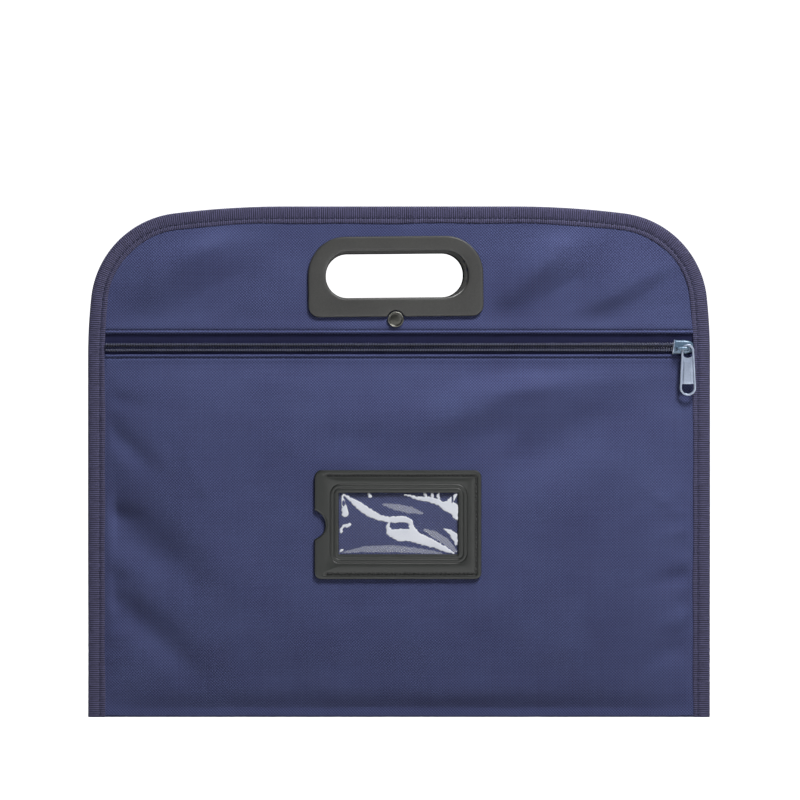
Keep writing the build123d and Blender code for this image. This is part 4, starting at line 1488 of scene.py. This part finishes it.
@dataclass(frozen=True)
class HandleSizes:
    """Sizes of the handle that the cloth needs too.

    Attributes:
        grip_width: Width of the finger opening.
        grip_height: Its height.
        grip_drop: Distance from the handle's top to the opening's.
    """

    grip_width: float = 83.5
    grip_height: float = 26.5
    grip_drop: float = 10.9

    def grip(self) -> Array:
        """Left, right, low and high side of the finger opening."""
        low, high = corners("handle_front_shell")
        middle = (low[0] + high[0]) / 2 - 0.9
        top = high[2] - self.grip_drop
        half = self.grip_width / 2
        return np.array([middle - half, middle + half, top - self.grip_height, top])


@dataclass
class Handle:
    """Two moulded shells, clamped through the cloth round the finger opening.

    Attributes:
        sizes: Sizes of the opening.
        radii: Outer corner radii, from the top left clockwise.
        flange: How far a shell stands off the cloth.
        collar: Wall of the collar in the opening.
        notch: Radius of the notch that clears the rivet.
        tilt: Turn of the handle in degrees.
    """

    sizes: HandleSizes = field(default_factory=HandleSizes)
    radii: tuple[float, float, float, float] = (23.0, 23.0, 7.0, 7.0)
    flange: float = 2.2
    collar: float = 1.8
    notch: float = 5.3
    tilt: float = 0.5

    def tilted(self, loop: Array) -> Array:
        """Turns a loop about the middle of the handle."""
        sides = self.sizes.grip()
        middle = np.array([(sides[0] + sides[1]) / 2, (sides[2] + sides[3]) / 2])
        turn = math.radians(self.tilt)
        spin = np.array([[math.cos(turn), math.sin(turn)], [-math.sin(turn), math.cos(turn)]])
        return (loop - middle) @ spin + middle

    def outer_loop(self, inset: float) -> Array:
        """Outer edge, drawn in, with the notch over the rivet as a circle's upper arc."""
        low, high = corners("handle_front_shell")
        sides = np.array([low[0], high[0], low[2], high[2]])
        loop = self.tilted(rounded_loop(sides, self.radii, inset, 92, 16))
        rivet = (low_corner("rivet_cap") + high_corner("rivet_cap")) / 2
        reach = self.notch + inset
        across = np.clip(np.abs(loop[:, 0] - rivet[0]), 0, reach)
        arch = rivet[2] + np.sqrt(reach ** 2 - across ** 2)
        near = (np.abs(loop[:, 0] - rivet[0]) < reach) & (loop[:, 1] < rivet[2] + 14)
        loop[:, 1] = np.where(near, np.maximum(loop[:, 1], arch), loop[:, 1])
        return loop

    def grip_loop(self, grow: float, skew: float) -> Array:
        """Edge of the finger opening, let out, with the right end and the top skewed further out."""
        sides = self.sizes.grip() + grow * np.array([-1, 1, -1, 1]) + skew * np.array([0, 3.0, 0, 1.7])
        radius = (sides[3] - sides[2]) / 2 - 0.35
        return self.tilted(rounded_loop(sides, (radius,) * 4, 0.0, 92, 16))

    def shell(self, facing: Facing) -> Shell:
        """A flange with rounded edges and its collar, as one closed ring of lofted loops."""
        way = facing.value
        planes = {Facing.FRONT: low_corner("yoke_panel")[1] + 0.6,
                  Facing.BACK: high_corner("edge_binding")[1] - 0.5}
        plane = planes[facing]
        top = plane + way * self.flange
        seam = -0.3
        skew = 1.0 if facing is Facing.FRONT else 0.3
        outer_rows = [(0.5, plane), (0.0, plane + way * 0.35), (0.02, plane + way * 0.9),
                      (0.2, top - way * 0.5), (0.5, top - way * 0.2), (1.1, top - way * 0.05), (2.3, top)]
        inner_rows = [(2.4, top, skew), (1.6, top - way * 0.04, skew), (1.1, top - way * 0.2, skew),
                      (0.75, top - way * 0.55, skew), (0.5, top - way * 1.1, skew),
                      (0.4, seam + way * 0.6, skew), (0.3, seam + way * 0.15, skew * 0.9),
                      (0.05, seam, skew * 0.3), (0.0, seam, 0.0)]
        under_rows = [(self.collar, seam, 0.0), (self.collar, plane, 0.0)]
        loops = [self.outer_loop(inset) for inset, _ in outer_rows]
        loops += [(self.outer_loop(2.3) + self.grip_loop(2.4, skew)) / 2]
        loops += [self.grip_loop(grow, slant) for grow, _, slant in inner_rows + under_rows]
        depths = [depth for _, depth in outer_rows] + [top + way * 0.06]
        depths += [depth for _, depth, _ in inner_rows + under_rows]
        return lofted(loops, depths, True)

    def build(self, material: bpy.types.Material) -> None:
        """Builds both shells."""
        for facing in Facing:
            side = facing.name.lower()
            made = place(f"handle_{side}_moulding", self.shell(facing), material)
            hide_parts(f"handle_{side}_shell")
            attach(made, "bag_shell")


@dataclass
class Rivet:
    """Two-part rivet under the handle: a cap with a raised ring in front and a plain one behind.

    Attributes:
        radius: Radius of both caps.
    """

    radius: float = 5.0

    def build(self, material: bpy.types.Material, bright: bpy.types.Material) -> None:
        """Turns both caps, and the paler ring on the front one, about the rivet's axis."""
        middle = (low_corner("rivet_cap") + high_corner("rivet_cap")) / 2
        root, top = high_corner("rivet_cap")[1], low_corner("rivet_cap")[1]
        r = self.radius
        front = [(0, root), (r * 0.9, root), (r * 0.985, root - 0.15), (r, root - 0.45),
                 (r * 0.985, top + 0.35), (r * 0.94, top + 0.12), (r * 0.88, top), (r * 0.82, top + 0.04),
                 (r * 0.77, top + 0.22), (r * 0.72, top + 0.42), (r * 0.66, top + 0.42),
                 (r * 0.6, top + 0.3), (r * 0.45, top + 0.14), (r * 0.25, top + 0.05),
                 (r * 0.08, top + 0.02), (0, top + 0.02)]
        cap = place("rivet_front_cap", revolve(np.array(front), middle[0], middle[2], 56), material, 60.0)
        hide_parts("rivet_cap")
        near, far = high_corner("handle_back_shell")[1] - 2.2, high_corner("rivet_post")[1]
        back = [(0, near), (r * 0.9, near), (r * 0.99, near + 0.15), (r, near + 0.4),
                (r * 0.94, far - 0.2), (r * 0.8, far - 0.04), (r * 0.55, far), (r * 0.35, far - 0.02),
                (r * 0.28, far - 0.25), (0, far - 0.3)]
        post = place("rivet_back_cap", revolve(np.array(back), middle[0], middle[2], 56), material, 60.0)
        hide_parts("rivet_post")
        turn = np.linspace(0, 2 * np.pi, 72, endpoint=False)
        circle = np.column_stack([middle[0] + r * 0.9 * np.cos(turn), np.full(72, top + 0.12),
                                  middle[2] + r * 0.9 * np.sin(turn)])
        bead = sweep(circle, np.array([0.0, 1.0, 0.0]), oval(0.4, 0.5, 10), closed=True)
        ring = place("rivet_front_ring", bead, bright)
        for made in (cap, post, ring):
            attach(made, "bag_shell")


# Creases of the label film, which dent it and carry its painted white highlight: level, then (across, down,
# half width in mm) along each, and dimples in them.
CREASES_AND_HIGHLIGHTS = (
    (1.0, ((0.04, 0.03, 0.3), (0.1, 0.11, 1.0), (0.17, 0.21, 2.2), (0.255, 0.325, 2.2), (0.335, 0.4, 1.8),
           (0.41, 0.435, 1.6), (0.475, 0.435, 1.9), (0.555, 0.435, 2.0), (0.595, 0.48, 1.6),
           (0.612, 0.58, 1.4), (0.65, 0.68, 2.0))),
    (1.0, ((0.41, 0.56, 1.0), (0.43, 0.65, 2.0), (0.505, 0.69, 3.5), (0.6, 0.69, 3.6), (0.69, 0.76, 3.0),
           (0.79, 0.835, 2.2), (0.88, 0.91, 1.5), (0.96, 0.98, 0.4))),
    (1.0, ((0.43, 0.46, 0.5), (0.408, 0.56, 0.8))),
    (1.0, ((0.03, 0.06, 0.5), (0.042, 0.2, 1.2), (0.055, 0.34, 2.0))),
    (1.0, ((0.02, 0.63, 1.0), (0.045, 0.56, 1.4), (0.09, 0.52, 0.8))),
    (1.0, ((0.255, 0.02, 0.8), (0.26, 0.05, 0.9))),
    (1.0, ((0.01, 0.96, 0.4), (0.03, 0.93, 0.4))),
    (1.0, ((0.55, 0.03, 0.3), (0.66, 0.09, 0.9), (0.76, 0.11, 1.4), (0.83, 0.15, 1.9))),
    (1.0, ((0.72, 0.0, 0.6), (0.73, 0.06, 0.7))),
    (1.0, ((0.78, 0.0, 0.6), (0.785, 0.08, 0.8))),
    (1.0, ((0.835, 0.0, 0.5), (0.835, 0.1, 0.7))),
    (1.0, ((0.84, 0.18, 1.2), (0.9, 0.215, 3.0), (0.955, 0.25, 3.3), (0.985, 0.42, 0.8))),
    (1.0, ((0.93, 0.14, 1.6), (0.985, 0.03, 0.5))),
    (1.0, ((0.885, 0.59, 0.3), (0.93, 0.63, 1.2), (0.965, 0.7, 1.9), (0.985, 0.84, 0.5))),
    (0.2, ((0.37, 0.19, 0.4), (0.47, 0.23, 1.8), (0.6, 0.28, 2.0), (0.7, 0.33, 0.5))),
    (0.2, ((0.72, 0.6, 0.6), (0.8, 0.68, 1.9), (0.9, 0.8, 2.0), (0.98, 0.95, 0.6))),
    (0.18, ((0.03, 0.98, 0.3), (0.2, 0.92, 1.6), (0.45, 0.91, 2.1), (0.7, 0.95, 1.4), (0.86, 0.99, 0.4))),
)
DIMPLES = ((0.507, 0.535, 0.083, 0.052, 0.18), (0.04, 0.17, 0.012, 0.05, 0.0), (0.05, 0.6, 0.02, 0.04, 0.3),
           (0.95, 0.1, 0.008, 0.07, 1.5))


@dataclass
class LabelHolder:
    """Soft moulded label holder: frame with beads, stitched groove and thumb notch, and its clear film.

    Attributes:
        radius: Corner radius.
        window_left: Distance from the left side to the window.
        window_foot: Distance from the foot to the window.
        window_width: Width of the window.
        window_height: Height of the window.
        groove_inset: Distance of the stitch row from the outer edge.
        notch_radius: Radius of the thumb notch.
        notch_depth: Its depth.
        stitch_pitch: Distance between stitches.
    """

    radius: float = 4.0
    window_left: float = 14.7
    window_foot: float = 15.2
    window_width: float = 72.7
    window_height: float = 37.3
    groove_inset: float = 3.2
    notch_radius: float = 9.0
    notch_depth: float = 6.6
    stitch_pitch: float = 2.7

    def sides(self) -> Array:
        """Left, right, low and high side of the holder."""
        low, high = corners("label_frame")
        return np.array([low[0], high[0], low[2], high[2]])

    def window(self) -> Array:
        """Left, right, low and high side of the window."""
        left, _, low, _ = self.sides()
        left, low = left + self.window_left, low + self.window_foot
        return np.array([left, left + self.window_width, low, low + self.window_height])

    def outer_loop(self, inset: float) -> Array:
        """Outer edge, drawn in, pushed right by the thumb notch's circle."""
        sides = self.sides()
        loop = rounded_loop(sides, (self.radius,) * 4, inset, 92, 10)
        middle = (sides[2] + sides[3]) / 2
        reach = self.notch_radius + 1.3 * (1 - math.exp(-inset / 1.3))
        along = np.clip(np.abs(loop[:, 1] - middle), 0, reach)
        bow = sides[0] + self.notch_depth - self.notch_radius + np.sqrt(reach ** 2 - along ** 2)
        near = (np.abs(loop[:, 1] - middle) < reach) & (loop[:, 0] < (sides[0] + sides[1]) / 2)
        loop[:, 0] = np.where(near, np.maximum(loop[:, 0], bow), loop[:, 0])
        return loop

    def window_loop(self, grow: float) -> Array:
        """Edge of the window, let out."""
        return rounded_loop(self.window(), (0.5 + 0.1 * grow,) * 4, -grow, 92, 10)

    def frame(self) -> Shell:
        """Closed ring of lofted loops: rounded rim, groove, flat band, two beads, lip and back."""
        back, front = high_corner("label_frame")[1], low_corner("label_frame")[1]
        g = self.groove_inset
        outer_rows = [(0.2, back), (0.0, back - 0.3), (0.0, front + 0.8), (0.15, front + 0.35),
                      (0.55, front + 0.08), (1.1, front), (g - 1.2, front), (g - 0.95, front + 0.14),
                      (g - 0.8, front + 1.0), (g, front + 1.2), (g + 0.8, front + 1.0),
                      (g + 0.9, front + 0.14), (g + 1.1, front)]
        window_rows = [(6.1, front), (5.75, front + 0.1), (5.35, front + 0.42), (4.95, front + 0.1),
                       (4.5, front), (3.7, front + 0.02), (3.3, front + 0.14), (2.95, front + 0.45),
                       (2.6, front + 0.16), (2.1, front + 0.05), (1.0, front + 0.06),
                       (0.45, front + 0.16), (0.1, front + 0.45), (0.0, front + 0.9), (0.0, front + 1.42),
                       (3.0, front + 1.42), (5.5, back)]
        loops = [self.outer_loop(inset) for inset, _ in outer_rows]
        loops += [self.window_loop(grow) for grow, _ in window_rows]
        depths = np.array([depth for _, depth in outer_rows + window_rows])
        shell = lofted(loops, list(depths), True)
        left = self.sides()[0]
        flat_left = 1 - eased(shell.points[:, 0], left + 5.2, left + 7.6)
        row = np.repeat(np.arange(len(loops)), len(loops[0]))
        in_groove = (row >= 7) & (row <= 11)
        depth = shell.points[:, 1]
        shell.points[:, 1] = np.where(in_groove, depth + (front - depth) * flat_left, depth)
        return shell

    def stitches(self) -> Shell:
        """Thread row in the groove, open on the left where the card goes in."""
        sides = self.sides() + self.groove_inset * np.array([1, -1, 1, -1])
        left = self.sides()[0] + 2 * self.groove_inset
        floor = low_corner("label_frame")[1] + 1.0
        corners = np.array([[left, sides[3]], [sides[1], sides[3]], [sides[1], sides[2]], [left, sides[2]]])
        rows = []
        for start, end in zip(corners[:-1], corners[1:]):
            ends = np.array([[start[0], floor, start[1]], [end[0], floor, end[1]]])
            step = unit(ends[1] - ends[0]) * 0.6
            ends = (ends[0] + step, ends[1] - step)
            rows.append(straight_stitches(*ends, TO_FRONT, 2.3, 0.85, self.stitch_pitch))
        return joined(rows)

    def crease(self, u: Array, v: Array) -> Array:
        """Strength of the film's creases, 0 to 1, over the window; it sets both their dent and their painted
        white highlight.

        Each crease is a line of points with half widths. Its strength is its level inside that width
        and eases to 0 over a quarter of a millimetre outside; a few dimples are cut out again.

        Args:
            u: Places across the window, 0 to 1 to the right.
            v: Places down the window, 0 to 1.

        Returns:
            Strengths.
        """
        x, y = u * self.window_width, v * self.window_height
        strength = np.zeros_like(u)
        for level, line in CREASES_AND_HIGHLIGHTS:
            points = np.array(line) * np.array([self.window_width, self.window_height, 1.0])
            nearest = np.full(u.shape, 99.0)
            for start, end in zip(points[:-1], points[1:]):
                step = end[:2] - start[:2]
                along = np.clip(((x - start[0]) * step[0] + (y - start[1]) * step[1]) / (step @ step), 0, 1)
                away = np.hypot(x - start[0] - along * step[0], y - start[1] - along * step[1])
                nearest = np.minimum(nearest, away - start[2] - along * (end[2] - start[2]))
            rough = 0.22 * ripples(x, y, 3.2, 71) + 0.1 * ripples(x, y, 1.4, 72)
            strength = np.maximum(strength, level * (1 - eased(nearest + rough, -0.1, 0.3)))
        for at_u, at_v, half_u, half_v, slope in DIMPLES:
            across, down = (u - at_u) / half_u, (v - at_v + slope * (u - at_u)) / half_v
            strength = strength * eased(across ** 2 + down ** 2, 0.8, 1.2)
        return strength

    def film(self) -> tuple[Shell, Array]:
        """Clear film behind the window and its painted highlight, creased where cards have been pushed in.
        """
        window = self.window()
        lap = 2.0
        x, z = np.meshgrid(np.linspace(window[0] - lap, window[1] + lap, 220),
                           np.linspace(window[2] - lap, window[3] + lap, 120))
        strength = self.crease((x - window[0]) / self.window_width, (window[3] - z) / self.window_height)
        swell = 0.12 * ripples(x, z, 22, 61) + 0.12
        y = high_corner("label_window")[1] - 0.05 - swell - 0.35 * strength
        shell = double_wall(np.stack([x, y, z], -1), np.stack([x, z], -1), 0.15)
        return shell, np.tile(strength.ravel(), 2)

    def build(self, frame_material: bpy.types.Material, film_material: bpy.types.Material,
              thread: bpy.types.Material) -> None:
        """Builds the frame, the film and the stitches."""
        frame_piece = place("label_holder_frame", self.frame(), frame_material)
        film_shell, painted_highlight = self.film()
        film_piece = place("label_holder_film", film_shell, film_material)
        # The crease strength is kept on the film as its painted highlight.
        kept_painted_highlight = film_piece.data.attributes.new(PAINTED_HIGHLIGHT_ATTRIBUTE, "FLOAT", "POINT")
        kept_painted_highlight.data.foreach_set("value", painted_highlight.astype(np.float32))
        film_piece.visible_shadow = False
        stitches = place("label_holder_stitches", self.stitches(), thread)
        facts = ((frame_piece, "label_pvc", "label_frame"), (film_piece, "label_film", "label_window"),
                 (stitches, "sewing_thread", "label_thread"))
        for made, slot, node in facts:
            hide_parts(node)
            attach(made, "front_mouth")


# ---------------------------------------------------------------------------------------------
# Studio
# ---------------------------------------------------------------------------------------------


@dataclass
class Studio:
    """Pale sweep, soft lights and the camera.

    Attributes:
        distance: Distance of the camera from the bag, in metres.
        view_width: Width that the camera sees at the bag.
        wall_radius: Radius of the round wall that closes the studio, seen only by the camera.
        wall_height: Its height.
        centre: Middle of the view across and up.
    """

    distance: float = 2.2
    view_width: float = 0.4888
    wall_radius: float = 4.8
    wall_height: float = 4.5
    centre: tuple[float, float] = (0.0006, 0.1937)

    def sweep_floor(self) -> None:
        """Floor that curves up into a backdrop, straight, a quarter circle, straight; and its walls."""
        turn = np.linspace(0, np.pi / 2, 24)
        bend = 0.8
        y = np.concatenate([[-6.0], 3.0 + bend * np.sin(turn), [3.8]])
        z = np.concatenate([[0.0], bend * (1 - np.cos(turn)), [4.0]])
        x = np.array([-5.0, 5.0])
        points = np.stack(np.broadcast_arrays(x[None, :], y[:, None], z[:, None]), -1) / MM
        rows, columns = points.shape[:2]
        shell = Shell(points.reshape(-1, 3), lattice(rows, columns), points.reshape(-1, 3)[:, :2])
        paper = bpy.data.materials.new("paper_sweep_matt")
        paper.use_nodes = True
        shader = paper.node_tree.nodes["Principled BSDF"]
        shader.inputs["Base Color"].default_value = linear("#f7f7f7")
        shader.inputs["Roughness"].default_value = 0.9
        shader.inputs["Specular IOR Level"].default_value = 0.1
        shader.inputs["Emission Color"].default_value = linear("#ffffff")
        shader.inputs["Emission Strength"].default_value = 1.0
        floor = place("studio_floor", shell, paper)
        turn = np.linspace(0, 2 * np.pi, 64, endpoint=False)
        ring = self.wall_radius * np.column_stack([np.cos(turn), np.sin(turn)])
        levels = (-0.4, self.wall_height)
        points = np.vstack([np.column_stack([ring, np.full(64, level)]) for level in levels]) / MM
        walls = place("studio_walls", Shell(points, lattice(2, 64, False, True), points[:, :2]), paper)
        walls.visible_glossy = False
        for piece in (floor, walls):
            piece.visible_diffuse = False

    def light(self, name: str, at: tuple[float, float, float], size: tuple[float, float],
              power: float) -> None:
        """Area light that faces the middle of the bag."""
        lamp = bpy.data.lights.new(name, "AREA")
        lamp.shape = "RECTANGLE"
        lamp.size, lamp.size_y = size
        lamp.energy = power
        holder = bpy.data.objects.new(name, lamp)
        bpy.context.scene.collection.objects.link(holder)
        holder.location = at
        target = np.array([0.0, 0.0, 0.16]) - np.array(at)
        holder.rotation_euler = Vector(target).to_track_quat("-Z", "Y").to_euler()

    def build(self) -> None:
        """Builds the floor, the lights and the camera."""
        scene = bpy.context.scene
        self.sweep_floor()
        self.light("key", (0.48, -0.74, 1.36), (0.4, 0.4), 27.5)
        self.light("fill", (1.1, -2.1, 0.4), (0.8, 0.8), 6)
        self.light("back", (-0.6, 0.8, 1.35), (0.4, 0.4), 27)
        world = bpy.data.worlds.new("studio_air")
        world.use_nodes = True
        world.node_tree.nodes["Background"].inputs["Color"].default_value = linear("#eef0f5")
        world.node_tree.nodes["Background"].inputs["Strength"].default_value = 0.12
        scene.world = world
        lens = bpy.data.cameras.new("camera")
        lens.lens = lens.sensor_width * self.distance / self.view_width
        lens.clip_end = 50
        camera = bpy.data.objects.new("camera", lens)
        scene.collection.objects.link(camera)
        camera.location = (self.centre[0], -self.distance, self.centre[1])
        camera.rotation_euler = (math.pi / 2, 0, 0)
        scene.camera = camera
        scene.view_settings.view_transform = "Standard"


def main() -> None:
    """Builds the studio and every sub-assembly of the bag in order."""
    logging.basicConfig(level=logging.INFO, format="%(message)s")
    Studio().build()
    oxford, thread = OXFORD.material(), THREAD.material()
    outline = Outline(high_corner("edge_binding")[0], high_corner("edge_binding")[2])
    walls = ClothWalls(outline)
    walls.back(oxford)
    walls.yoke(oxford)
    walls.front(oxford)
    hem_stitches(walls, thread)
    binding = Binding(outline)
    binding.build(GROSGRAIN.material())
    binding.stitch(thread)
    line = (low_corner("zip_coil_upper")[2] + high_corner("zip_coil_lower")[2]) / 2
    Zip(line).build(ZIP_TAPE.material(), COIL.material(), CORE.material(), ZIP_THREAD.material())
    lacquer = LACQUER.material()
    Slider(line).build(ENAMEL.material(), lacquer)
    Pull().build(lacquer)
    Handle().build(HANDLE_PLASTIC.material())
    Rivet().build(GUNMETAL.material(), PALE_STEEL.material())
    LabelHolder().build(SOFT_PVC.material(), FILM.material(), LABEL_THREAD.material())


if __name__ == "__main__":
    main()
